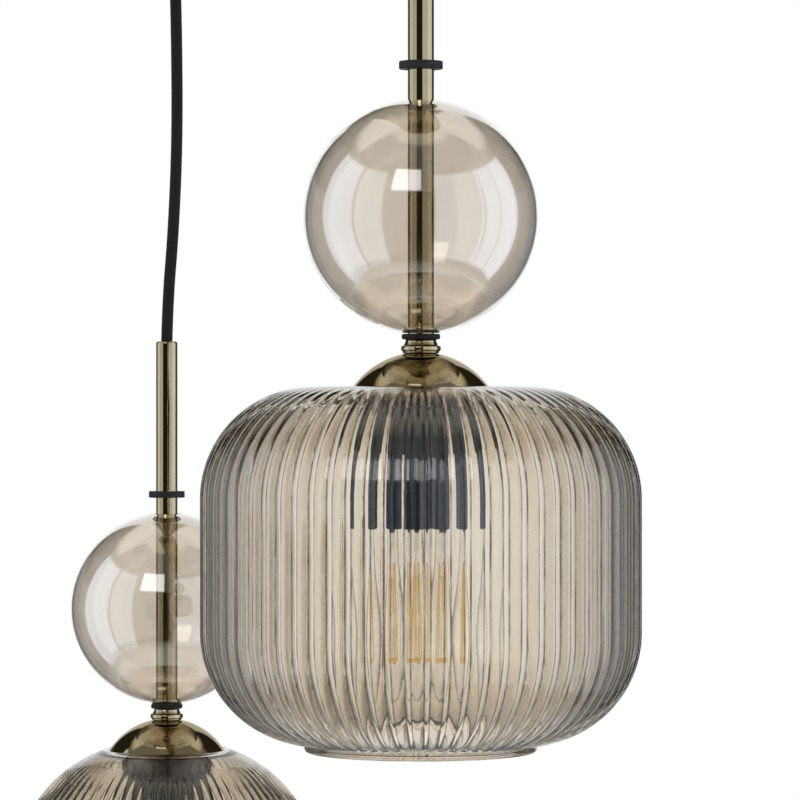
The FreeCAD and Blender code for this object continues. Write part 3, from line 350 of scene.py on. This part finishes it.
SLOT_MATERIALS = {
    "polished_brass": brass_material(),
    "zinc_steel": steel_material(),
    "cord_fabric": cord_material(),
    "black_rubber": plain_material(
        "black_rubber",
        dark=(0.008, 0.008, 0.009),
        light=(0.02, 0.02, 0.021),
        rough=(0.45, 0.7),
        scale=300.0,
        relief=0.15,
        Specular_IOR_Level=0.2,
    ),
    "black_nylon": plain_material(
        "black_nylon",
        dark=(0.02, 0.02, 0.02),
        light=(0.035, 0.035, 0.035),
        rough=(0.35, 0.5),
        scale=250.0,
        relief=0.1,
    ),
    "ball_glass": glass_material(
        "ball_glass",
        tint=(0.83, 0.775, 0.70),
        edge=(0.74, 0.71, 0.66),
        ior=1.6,
        Specular_IOR_Level=1.0,
        Coat_Weight=1.0,
        Coat_Roughness=0.0,
        Coat_IOR=1.6,
    ),
    "shade_glass": shade_glass_material(),
    "bulb_glass": glass_material(
        "bulb_glass",
        tint=(1.0, 0.995, 0.98),
        edge=(0.94, 0.93, 0.91),
        ior=1.45,
        Specular_IOR_Level=0.5,
    ),
    # Black, tinted blue as a painted reflection of bluish surroundings
    "holder_black": plain_material(
        "black_phenolic_painted_reflection",
        dark=(0.010, 0.021, 0.040),
        light=(0.018, 0.034, 0.060),
        rough=(0.2, 0.3),
        scale=120.0,
        relief=0.05,
    ),
    "white_porcelain": plain_material(
        "white_porcelain",
        dark=(0.80, 0.79, 0.75),
        light=(0.87, 0.86, 0.83),
        rough=(0.1, 0.25),
        scale=80.0,
        relief=0.05,
    ),
    "contact_brass": plain_material(
        "bright_brass",
        dark=(0.70, 0.56, 0.30),
        light=(0.78, 0.63, 0.35),
        rough=(0.18, 0.3),
        scale=150.0,
        relief=0.05,
        Metallic=1.0,
    ),
    "bulb_cap_metal": plain_material(
        "nickel",
        dark=(0.66, 0.65, 0.63),
        light=(0.74, 0.73, 0.71),
        rough=(0.15, 0.28),
        scale=150.0,
        relief=0.05,
        Metallic=1.0,
    ),
    "filament_yellow": plain_material(
        "filament_phosphor",
        dark=(0.98, 0.70, 0.26),
        light=(1.0, 0.78, 0.36),
        rough=(0.5, 0.7),
        scale=400.0,
        relief=0.1,
    ),
    "block_plastic": plain_material(
        "white_block",
        dark=(0.78, 0.78, 0.76),
        light=(0.84, 0.84, 0.82),
        rough=(0.4, 0.55),
        scale=200.0,
        relief=0.1,
    ),
}


# CAD nodes

FILAMENT_COATING = 0.6 * MM


def dress_nodes():
    """Gives every CAD node the material of its slot."""
    for subpart in frame["record"]["subparts"]:
        node = NODES[subpart["node"]]
        for place in node.material_slots:
            place.material = SLOT_MATERIALS[subpart["material_slot"]]


def coat_filaments(drop):
    """Grows the lamp's filaments evenly outwards, as a coating would."""
    modifier = NODES[f"{drop}_bulb_filaments"].modifiers.new("coating", "DISPLACE")
    modifier.strength = FILAMENT_COATING
    modifier.mid_level = 0.0


# Meshes


def new_piece(name, mesh, body, slot, replaced):
    """Adds a piece that rides on a body, takes its slot's material and stands for a CAD node."""
    piece = bpy.data.objects.new(name, mesh)
    bpy.context.scene.collection.objects.link(piece)
    mesh.materials.append(SLOT_MATERIALS[slot])
    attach(piece, body)
    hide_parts(replaced)
    return piece


def grid_mesh(name, rings, closed=True):
    """Joins rings of as many points each into a smooth solid: a loop of rings, or else a capped tube."""
    count = len(rings[0])
    points = [point for ring in rings for point in ring]
    pairs = list(zip(range(len(rings)), range(1, len(rings))))
    if closed:
        pairs.append((len(rings) - 1, 0))
    faces = []
    for low, high in pairs:
        for index in range(count):
            after = (index + 1) % count
            faces.append(
                (low * count + index, low * count + after, high * count + after, high * count + index)
            )
    if not closed:
        last = len(points) - count
        faces += [tuple(range(count)), tuple(range(last, last + count))]
    mesh = bpy.data.meshes.new(name)
    mesh.from_pydata(points, [], faces)
    shape = bmesh.new()
    shape.from_mesh(mesh)
    bmesh.ops.recalc_face_normals(shape, faces=shape.faces)
    shape.to_mesh(mesh)
    shape.free()
    mesh.shade_smooth()
    return mesh


def arc(centre_x, centre_z, radius, first, last, steps):
    """Section points (x, z) on an arc from angle first to last, in degrees."""
    turns = [math.radians(first + (last - first) * index / steps) for index in range(steps + 1)]
    return [(centre_x + radius * math.cos(turn), centre_z + radius * math.sin(turn)) for turn in turns]


def turned(place, x, z, turns):
    """The section point (x, z) at each turn about the upright axis through place."""
    return [(place.x + x * math.cos(turn), place.y + x * math.sin(turn), place.z + z) for turn in turns]


def lathe(name, section, place, around):
    """A solid of revolution from a closed section of (x, z) points."""
    turns = [2 * math.pi * index / around for index in range(around)]
    return grid_mesh(name, [turned(place, x, z, turns) for x, z in section])


def runs_along(points):
    """The length of a line of points up to each of them."""
    runs = [0.0]
    for before, after in zip(points, points[1:]):
        runs.append(runs[-1] + math.dist(before, after))
    return runs


def smooth_share(value):
    """0 to 1, smoothly, as value goes from 0 to 1."""
    share = max(0.0, min(1.0, value))
    return share * share * (3 - 2 * share)


# Cords: the points of the CAD route on one smooth line, in metres from the middle of the tube's mouth

CORD_DIAMETER = 6.4 * MM
CORD_ROUTES = {
    "drum": [
        (0.0, 0.0, 0.0),
        (0.00013, 0.00038, 0.019),
        (0.00042, 0.00123, 0.044),
        (0.00029, 0.00085, 0.068),
    ],
    "globe": [
        (0.0, 0.0, 0.0),
        (0.00019, 0.00057, 0.024),
        (0.00116, 0.00341, 0.060),
        (0.00187, 0.00549, 0.110),
        (0.00181, 0.00530, 0.165),
        (0.00136, 0.00397, 0.220),
        (0.00039, 0.00114, 0.262),
    ],
}
LINE_RESOLUTION = 24
BRAID_CARRIERS = 16
BRAID_PITCH = 9.0 * MM
BRAID_RELIEF = 0.16 * MM
BRAID_CROSSING = 3
BRAID_AROUND = 96
BRAID_STEP = 0.45 * MM


def cord_line(drop):
    """The cord's centreline: a smooth spline through its route, read as points."""
    mouth = Vector((AXES[drop].x, AXES[drop].y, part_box(f"{drop}_tube")[1].z))
    points = [mouth + Vector(offset) for offset in CORD_ROUTES[drop]] + [AXES[drop]]
    data = bpy.data.curves.new(f"{drop}_cord_line", "CURVE")
    data.dimensions = "3D"
    data.resolution_u = LINE_RESOLUTION
    spline = data.splines.new("NURBS")
    spline.points.add(len(points) - 1)
    for place, point in zip(spline.points, points):
        place.co = (*point, 1)
    spline.order_u = 3
    spline.use_endpoint_u = True
    line = bpy.data.objects.new(f"{drop}_cord_line", data)
    bpy.context.scene.collection.objects.link(line)
    bpy.context.view_layer.update()
    mesh = bpy.data.meshes.new_from_object(line)
    path = [vertex.co.copy() for vertex in mesh.vertices]
    bpy.data.objects.remove(line)
    bpy.data.meshes.remove(mesh)
    return path


def at_steps(path, step):
    """The path as evenly spaced points, as near to the step as its length allows, and their spacing."""
    runs = runs_along(path)
    count = max(2, round(runs[-1] / step))
    points, segment = [], 0
    for index in range(count + 1):
        wanted = runs[-1] * index / count
        while segment < len(path) - 2 and runs[segment + 1] < wanted:
            segment += 1
        share = (wanted - runs[segment]) / (runs[segment + 1] - runs[segment])
        points.append(path[segment].lerp(path[segment + 1], min(share, 1)))
    return points, runs[-1] / count


def braid_height(turn, run):
    """Relief of a plain braid: strands that wind both ways and pass over and under each other."""
    left = BRAID_CARRIERS / 2 * (turn / (2 * math.pi) + run / BRAID_PITCH)
    right = BRAID_CARRIERS / 2 * (turn / (2 * math.pi) - run / BRAID_PITCH)
    over = math.cos(math.pi * (left + right)) * math.cos(math.pi * (left - right))
    left_crown = abs(math.sin(math.pi * left * 2))
    right_crown = abs(math.sin(math.pi * right * 2))
    weight = 0.5 + 0.5 * max(-1.0, min(1.0, over * BRAID_CROSSING))
    return weight * left_crown + (1 - weight) * right_crown


def make_cord(drop):
    """The braided cord, from the tube's mouth up to its swivel ball."""
    path = cord_line(drop)
    points, step = at_steps(path, BRAID_STEP)
    side = Vector((1, 0, 0))
    rings = []
    for index, point in enumerate(points):
        ahead = points[min(index + 1, len(points) - 1)] - points[max(index - 1, 0)]
        ahead.normalize()
        across = (side - ahead * side.dot(ahead)).normalized()
        upward = ahead.cross(across)
        ring = []
        for corner in range(BRAID_AROUND):
            turn = 2 * math.pi * corner / BRAID_AROUND
            radius = CORD_DIAMETER / 2 - BRAID_RELIEF * (1 - braid_height(turn, index * step))
            ring.append(point + (across * math.cos(turn) + upward * math.sin(turn)) * radius)
        rings.append(ring)
    name = f"{drop}_braided_cord"
    mesh = grid_mesh(name, rings, closed=False)
    cord = new_piece(name, mesh, f"{drop}_drop", "cord_fabric", f"{drop}_cord")


# Ribbed shades. A rib's places go from the middle of one valley, at -1, over the crown, at 0, to the next.

RIB_COUNT = 72
RIB_DEPTH = 0.75 * MM
RIB_RUN_IN = {"drum": (24.0 * MM, 46.0 * MM), "globe": (14.0 * MM, 40.0 * MM)}
RIB_RUN_OUT = 9.0 * MM
RIB_CROWN = 0.62
RIB_PLACES = (
    -1.0, -0.91, -0.82, -0.72, -0.62, -0.48, -0.32, -0.16, 0.0, 0.16, 0.32, 0.48, 0.62, 0.72, 0.82, 0.91
)
SHADE_RADII = {"drum": 100.4 * MM, "globe": 89.0 * MM}
SHADE_WALL = 3.0 * MM
SHADE_HOLE = 22.0 * MM
HOLE_ROUND = 1.0 * MM
SEAT_RADIUS = 33.5 * MM
SEAT_RECESS = 1.6 * MM
SEAT_CORNER = 0.25 * MM
DRUM_SHOULDER = 51.0 * MM
FOOT_RADII = {"drum": 53.0 * MM, "globe": 48.0 * MM}
FOOT_HEIGHT = 3.5 * MM
LIP_SINK = 1.35 * MM
LIP_RUN = 30.0 * MM
RIM_ROUND = 1.6 * MM
FLAT_STEPS = 8
SHOULDER_STEPS = 60
INNER_SHOULDER_STEPS = 40
GLOBE_STEPS = 150
INNER_GLOBE_STEPS = 100
RIM_STEPS = 6
HOLE_STEPS = 4


def reed_fall(place):
    """How far a reed falls from its crown at 0 to the middle of the narrower, rounded valley at 1."""
    place = abs(place)
    if place <= RIB_CROWN:
        return place * place / RIB_CROWN
    return 1 - (1 - place) ** 2 / (1 - RIB_CROWN)


def reed_fades(drop, line):
    """How deep the reeds are at each point of the ribbed line, as a share of their full depth."""
    runs = runs_along(line)
    first, full = RIB_RUN_IN[drop]
    fades = []
    for run in runs:
        fade = smooth_share((run - first) / (full - first))
        fades.append(fade * smooth_share((runs[-1] - run) / RIB_RUN_OUT))
    return fades


def sunken(line):
    """The globe's outer line, with its first stretch brought down until its lip is level with the dome."""
    lowered = []
    for run, (x, z) in zip(runs_along(line), line):
        lowered.append((x, z - LIP_SINK * (1 - smooth_share(run / LIP_RUN))))
    return lowered


def rim(inner, outer, foot):
    """The bottom of a wall from its outer face to its inner one, with both edges rounded."""
    height = foot + RIM_ROUND
    outer_edge = arc(outer - RIM_ROUND, height, RIM_ROUND, 0, -90, RIM_STEPS)
    return outer_edge + arc(inner + RIM_ROUND, height, RIM_ROUND, -90, -180, RIM_STEPS)


def angle_at(x, radius):
    """The angle on a circle, in degrees, at a distance x from its upright axis."""
    return math.degrees(math.acos(x / radius))


def drum_lines(low, top, lip):
    """The drum's ribbed outer line, from the lip down, and its plain inside, from the foot up."""
    foot = FOOT_RADII["drum"]
    centre = SHADE_RADII["drum"] - DRUM_SHOULDER
    upper = top - DRUM_SHOULDER
    lower = low + FOOT_HEIGHT + DRUM_SHOULDER
    inner = DRUM_SHOULDER - SHADE_WALL
    last = -angle_at(foot - centre, DRUM_SHOULDER)
    inner_last = -angle_at(foot - SHADE_WALL - centre, inner)
    ribbed = [(lip + (centre - lip) * index / FLAT_STEPS, top) for index in range(FLAT_STEPS)]
    ribbed += arc(centre, upper, DRUM_SHOULDER, 90, 0, SHOULDER_STEPS)
    ribbed += arc(centre, lower, DRUM_SHOULDER, 0, last, SHOULDER_STEPS)
    inside = arc(centre, lower, inner, inner_last, 0, INNER_SHOULDER_STEPS)
    inside += arc(centre, upper, inner, 0, 90, INNER_SHOULDER_STEPS)
    inside += [(lip + SHADE_WALL, top - SHADE_WALL), (SEAT_RADIUS, top - SEAT_RECESS - SHADE_WALL)]
    return ribbed, inside


def globe_lines(top, lip):
    """The globe's ribbed outer line, from the lip down, and its plain inside, from the foot up."""
    foot = FOOT_RADII["globe"]
    radius = SHADE_RADII["globe"]
    centre = top - math.sqrt(radius**2 - lip**2)
    inner = radius - SHADE_WALL
    ribbed = sunken(arc(0, centre, radius, angle_at(lip, radius), -angle_at(foot, radius), GLOBE_STEPS))
    first = -angle_at(foot - SHADE_WALL, inner)
    last = math.degrees(math.asin((top - SEAT_RECESS - SHADE_WALL - centre) / inner))
    return ribbed, arc(0, centre, inner, first, last, INNER_GLOBE_STEPS)


def shade_lines(drop):
    """The shade's ribbed outer line and its plain rest: rim, inside, hole and seat, in order."""
    low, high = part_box(f"{drop}_shade")
    foot = FOOT_RADII[drop]
    seat = high.z - SEAT_RECESS
    lip = SEAT_RADIUS + SEAT_RECESS
    ribbed, inside = drum_lines(low.z, high.z, lip) if drop == "drum" else globe_lines(high.z, lip)
    edge = SHADE_HOLE + HOLE_ROUND
    plain = rim(foot - SHADE_WALL, foot, low.z) + inside
    plain += arc(edge, seat - SHADE_WALL + HOLE_ROUND, HOLE_ROUND, -90, -180, HOLE_STEPS)
    plain += arc(edge, seat - HOLE_ROUND, HOLE_ROUND, 180, 90, HOLE_STEPS)
    plain += [(SEAT_RADIUS - HOLE_ROUND, seat), (SEAT_RADIUS, seat + SEAT_CORNER)]
    return ribbed, plain


def make_shade(drop):
    """The glass shade, with rounded reeds that fade in on its shoulder and out above the foot."""
    axis = Vector((AXES[drop].x, AXES[drop].y, 0))
    ribbed, plain = shade_lines(drop)
    fades = reed_fades(drop, ribbed)
    pitch = 2 * math.pi / RIB_COUNT
    turns = [pitch * (rib + place / 2) for rib in range(RIB_COUNT) for place in RIB_PLACES]
    places = RIB_PLACES * RIB_COUNT
    depths = [RIB_DEPTH * reed_fall(place) for place in places]
    rings, valleys = [], []
    for index, ((x, z), fade) in enumerate(zip(ribbed, fades)):
        before, after = ribbed[max(index - 1, 0)], ribbed[min(index + 1, len(ribbed) - 1)]
        along = Vector((after[0] - before[0], after[1] - before[1])).normalized()
        ring = []
        for turn, depth in zip(turns, depths):
            sunk = depth * fade
            ring += turned(axis, x + along.y * sunk, z - along.x * sunk, [turn])
        rings.append(ring)
        valleys += [fade * abs(place) for place in places]
    rings += [turned(axis, x, z, turns) for x, z in plain]
    name = f"{drop}_ribbed_shade"
    mesh = grid_mesh(name, rings)
    valley = mesh.attributes.new("valley", "FLOAT", "POINT")
    valley.data.foreach_set("value", valleys + [0.0] * (len(turns) * len(plain)))
    new_piece(name, mesh, f"{drop}_drop", "shade_glass", f"{drop}_shade")


# Glass balls

BALL_RADIUS = 53.5 * MM
BALL_WALL = 1.2 * MM
BALL_TOP_HOLE = 8.0 * MM
BALL_FOOT_HOLE = 7.8 * MM
BALL_STEPS = 150
BALL_EDGE_STEPS = 8
BALL_AROUND = 256


def ball_section():
    """The wall of a thin ball, up its outside and down its inside, with rounded edges at both holes."""
    half_wall = BALL_WALL / 2
    wall_middle = BALL_RADIUS - half_wall
    foot = -angle_at(BALL_FOOT_HOLE + half_wall, wall_middle)
    top = angle_at(BALL_TOP_HOLE + half_wall, wall_middle)

    def edge(angle, first):
        """A half circle round the wall's end, without its two ends, which the faces have."""
        x = wall_middle * math.cos(math.radians(angle))
        z = wall_middle * math.sin(math.radians(angle))
        return arc(x, z, half_wall, first, first + 180, BALL_EDGE_STEPS)[1:-1]

    outside = arc(0, 0, BALL_RADIUS, foot, top, BALL_STEPS)
    inside = arc(0, 0, BALL_RADIUS - BALL_WALL, top, foot, BALL_STEPS)
    return outside + edge(top, top) + inside + edge(foot, foot - 180)


def make_ball(drop):
    """The blown glass ball, which turns round the tube."""
    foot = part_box(f"{drop}_glass_ball")[0].z
    centre = Vector((AXES[drop].x, AXES[drop].y, foot + math.sqrt(BALL_RADIUS**2 - BALL_FOOT_HOLE**2)))
    name = f"{drop}_blown_ball"
    mesh = lathe(name, ball_section(), centre, BALL_AROUND)
    new_piece(name, mesh, f"{drop}_ball", "ball_glass", f"{drop}_glass_ball")


# Couplers: radius and height over the dome, in millimetres

COUPLER_LINE = (
    (5.05, 0.0),
    (6.6, 0.0),
    (7.7, 0.2),
    (8.3, 0.6),
    (8.4, 1.0),
    (8.3, 1.15),
    (8.75, 1.3),
    (9.05, 1.7),
    (9.15, 2.3),
    (9.15, 2.9),
    (9.05, 3.4),
    (8.7, 3.75),
    (8.1, 3.85),
    (7.9, 4.1),
    (7.45, 4.9),
    (7.15, 5.7),
    (7.0, 6.4),
    (6.9, 6.7),
    (6.05, 6.7),
    (6.05, 2.7),
    (5.05, 2.7),
)
COUPLER_AROUND = 128
SHARP_FROM = math.radians(50)


def make_coupler(drop):
    """Turned knuckle: a rolled foot, a round belly and a cone up to the gasket, over the solid one."""
    place = Vector((AXES[drop].x, AXES[drop].y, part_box(f"{drop}_coupler")[0].z))
    section = [(x * MM, z * MM) for x, z in COUPLER_LINE]
    name = f"{drop}_turned_coupler"
    mesh = lathe(name, section, place, COUPLER_AROUND)
    mesh.set_sharp_from_angle(angle=SHARP_FROM)
    new_piece(name, mesh, f"{drop}_drop", "polished_brass", f"{drop}_coupler")


# Studio, as seen from the object, in degrees: azimuth 0 is towards the camera and 90 to the picture's right

WHITE = (1.0, 1.0, 1.0)
SOFT_LIGHT = (0.92, 0.92, 0.92)
WALL = (0.27, 0.26, 0.24)
HIGH_WALL = (0.31, 0.30, 0.29)
HIGH_WALL_FROM = (38, 50)
GROUND = (0.52, 0.51, 0.49)
GROUND_FROM = (-45, -62)
ZENITH = (0.95, 0.92, 0.76)
ZENITH_FROM = (68, 76)
BACK_FROM = (146, 156)
BACK_FOOT = (-28, -20)
WARM_LIGHT = (1.02, 0.98, 0.89)
WARM_SHADE = (0.06, 0.05, 0.04)
GLAZING_BAR = (0.85, 0.88, 0.92)
DARK_BAND = (0.04, 0.036, 0.03)

# Colour, azimuths, elevations and half the width of the soft edge, each painted over those before it
STUDIO_PATCHES = (
    # A warm light high behind the object, with a dark middle
    (WARM_LIGHT, (96, 190), (47, 84), 4.0),
    (WARM_LIGHT, (-190, -96), (47, 84), 4.0),
    (WARM_SHADE, (165, 190), (50, 82), 3.0),
    (WARM_SHADE, (-190, -165), (50, 82), 3.0),
    # Two windows on each side, the farther ones brighter, with two glazing bars in the far right one
    ((1.05, 1.15, 1.26), (14, 61), (-42, 38), 2.0),
    ((1.50, 1.68, 2.00), (61, 109), (-42, 38), 2.0),
    ((0.95, 1.05, 1.16), (-69, -39), (-45, 40), 2.0),
    ((1.25, 1.40, 1.68), (-112, -72), (-45, 40), 2.0),
    (GLAZING_BAR, (65.4, 66.6), (-42, 38), 0.5),
    (GLAZING_BAR, (84.4, 85.6), (-42, 38), 0.5),
    # The dark room round the camera
    ((0.03, 0.027, 0.025), (-38, 11), (-70, 22), 2.0),
    # Grey walls beyond the windows, each with a dark band over it
    ((0.20, 0.20, 0.20), (-158, -116), (-62, 30), 3.0),
    (DARK_BAND, (-158, -112), (14, 44), 2.0),
    ((0.13, 0.145, 0.165), (116, 158), (-62, 30), 3.0),
    (DARK_BAND, (112, 158), (14, 44), 2.0),
    # A small strong light over the camera, on its left
    ((3.4, 3.4, 3.5), (-31, 0), (23, 44), 1.5),
)


def window(graph, azimuth, elevation, azimuths, elevations, soft):
    """1 inside a box of directions, falling to 0 over a soft edge."""
    share = 1.0
    for angle, (low, high) in ((azimuth, azimuths), (elevation, elevations)):
        past_low = graph.smooth_step(angle, low - soft, low + soft)
        past_high = graph.smooth_step(angle, high - soft, high + soft)
        share = graph.maths("MULTIPLY", share, past_low)
        share = graph.maths("MULTIPLY", share, graph.maths("SUBTRACT", 1.0, past_high))
    return share


def studio_colour(graph):
    """The studio's colour in each direction."""
    direction = graph.add("ShaderNodeTexCoord").outputs["Generated"]

    def along(vector):
        return graph.vector_maths("DOT_PRODUCT", direction, tuple(vector))

    azimuth = graph.maths("DEGREES", graph.maths("ARCTAN2", along(RIGHT), along(-FORWARD)))
    elevation = graph.maths("DEGREES", graph.maths("ARCSINE", along(UP)))
    colour = graph.blend(WALL, HIGH_WALL, graph.smooth_step(elevation, *HIGH_WALL_FROM))
    colour = graph.blend(colour, GROUND, graph.smooth_step(elevation, *GROUND_FROM))
    aside = graph.maths("ABSOLUTE", azimuth)
    back = graph.maths(
        "MULTIPLY", graph.smooth_step(aside, *BACK_FROM), graph.smooth_step(elevation, *BACK_FOOT)
    )
    colour = graph.blend(colour, WHITE, back)
    colour = graph.blend(colour, ZENITH, graph.smooth_step(elevation, *ZENITH_FROM))
    for patch, azimuths, elevations, soft in STUDIO_PATCHES:
        colour = graph.blend(colour, patch, window(graph, azimuth, elevation, azimuths, elevations, soft))
    return colour


def make_world():
    """White behind the object, and for reflections a studio of broad soft lights with dark gaps."""
    world = bpy.data.worlds.new("studio")
    bpy.context.scene.world = world
    world.use_nodes = True
    graph = Graph(world.node_tree)
    graph.tree.nodes.clear()
    colour = studio_colour(graph)
    path = graph.add("ShaderNodeLightPath")
    straight = graph.maths("LESS_THAN", path.outputs["Glossy Depth"], 0.5)
    through = graph.maths("MULTIPLY", path.outputs["Is Transmission Ray"], straight)
    colour = graph.blend(colour, SOFT_LIGHT, path.outputs["Is Diffuse Ray"])
    colour = graph.blend(colour, WHITE, graph.maths("MAXIMUM", path.outputs["Is Camera Ray"], through))
    background = graph.add("ShaderNodeBackground", Color=colour, Strength=1.0)
    graph.add("ShaderNodeOutputWorld", Surface=background.outputs["Background"])


LIGHT_DISTANCE = 2.5
LIGHT_SIZE = 1.6

# Name, direction from the object and power
LIGHTS = (
    ("key_light", -FORWARD + RIGHT * 0.8 + UP, 8),
    ("fill_light", -FORWARD * 0.6 - RIGHT + UP * 0.5, 4),
)


def make_light(name, direction, power):
    """A soft lamp that lights the object from a direction and shows in nothing."""
    data = bpy.data.lights.new(name, "AREA")
    data.shape = "SQUARE"
    data.size = LIGHT_SIZE
    data.energy = power
    lamp = bpy.data.objects.new(name, data)
    aim = (AXES["drum"] + AXES["globe"]) / 2 + UP * EYE_LEVEL
    lamp.location = aim + direction.normalized() * LIGHT_DISTANCE
    lamp.rotation_euler = (aim - lamp.location).to_track_quat("-Z", "Y").to_euler()
    lamp.visible_camera = False
    lamp.visible_glossy = False
    lamp.visible_transmission = False
    bpy.context.scene.collection.objects.link(lamp)


FLOOR_LEVEL = -2.1
FLOOR_RADIUS = 2.4
FLOOR_FADE = (0.45 * FLOOR_RADIUS, 0.98 * FLOOR_RADIUS)
FLOOR_SIDES = 96


def floor_material():
    """A pale matt floor that clears towards its edge."""
    material, graph, shader = new_material("pale_floor")
    tone = graph.noise(scale=40.0, detail=4.0, roughness=0.6)
    colour = graph.tones(tone, dark=(0.80, 0.80, 0.79), light=(0.83, 0.83, 0.82))
    graph.set(shader, Base_Color=colour, Roughness=0.9)
    outward = graph.vector_maths("LENGTH", graph.add("ShaderNodeTexCoord").outputs["Object"])
    clear = graph.add("ShaderNodeBsdfTransparent")
    graph.surface(shader, clear, graph.smooth_step(outward, *FLOOR_FADE))
    return material


def make_floor():
    """A round pale floor that fades into the white background at its edge."""
    mesh = bpy.data.meshes.new("floor")
    turns = [2 * math.pi * index / FLOOR_SIDES for index in range(FLOOR_SIDES)]
    points = [(FLOOR_RADIUS * math.cos(turn), FLOOR_RADIUS * math.sin(turn), 0) for turn in turns]
    mesh.from_pydata(points, [], [tuple(range(FLOOR_SIDES))])
    mesh.materials.append(floor_material())
    floor = bpy.data.objects.new("floor", mesh)
    floor.location = UP * FLOOR_LEVEL
    bpy.context.scene.collection.objects.link(floor)


make_camera()
dress_nodes()
for make in (coat_filaments, make_cord, make_shade, make_ball, make_coupler):
    for drop in DROPS:
        make(drop)
make_world()
for name, direction, power in LIGHTS:
    make_light(name, direction, power)
make_floor()
bpy.context.scene.view_settings.view_transform = "Standard"
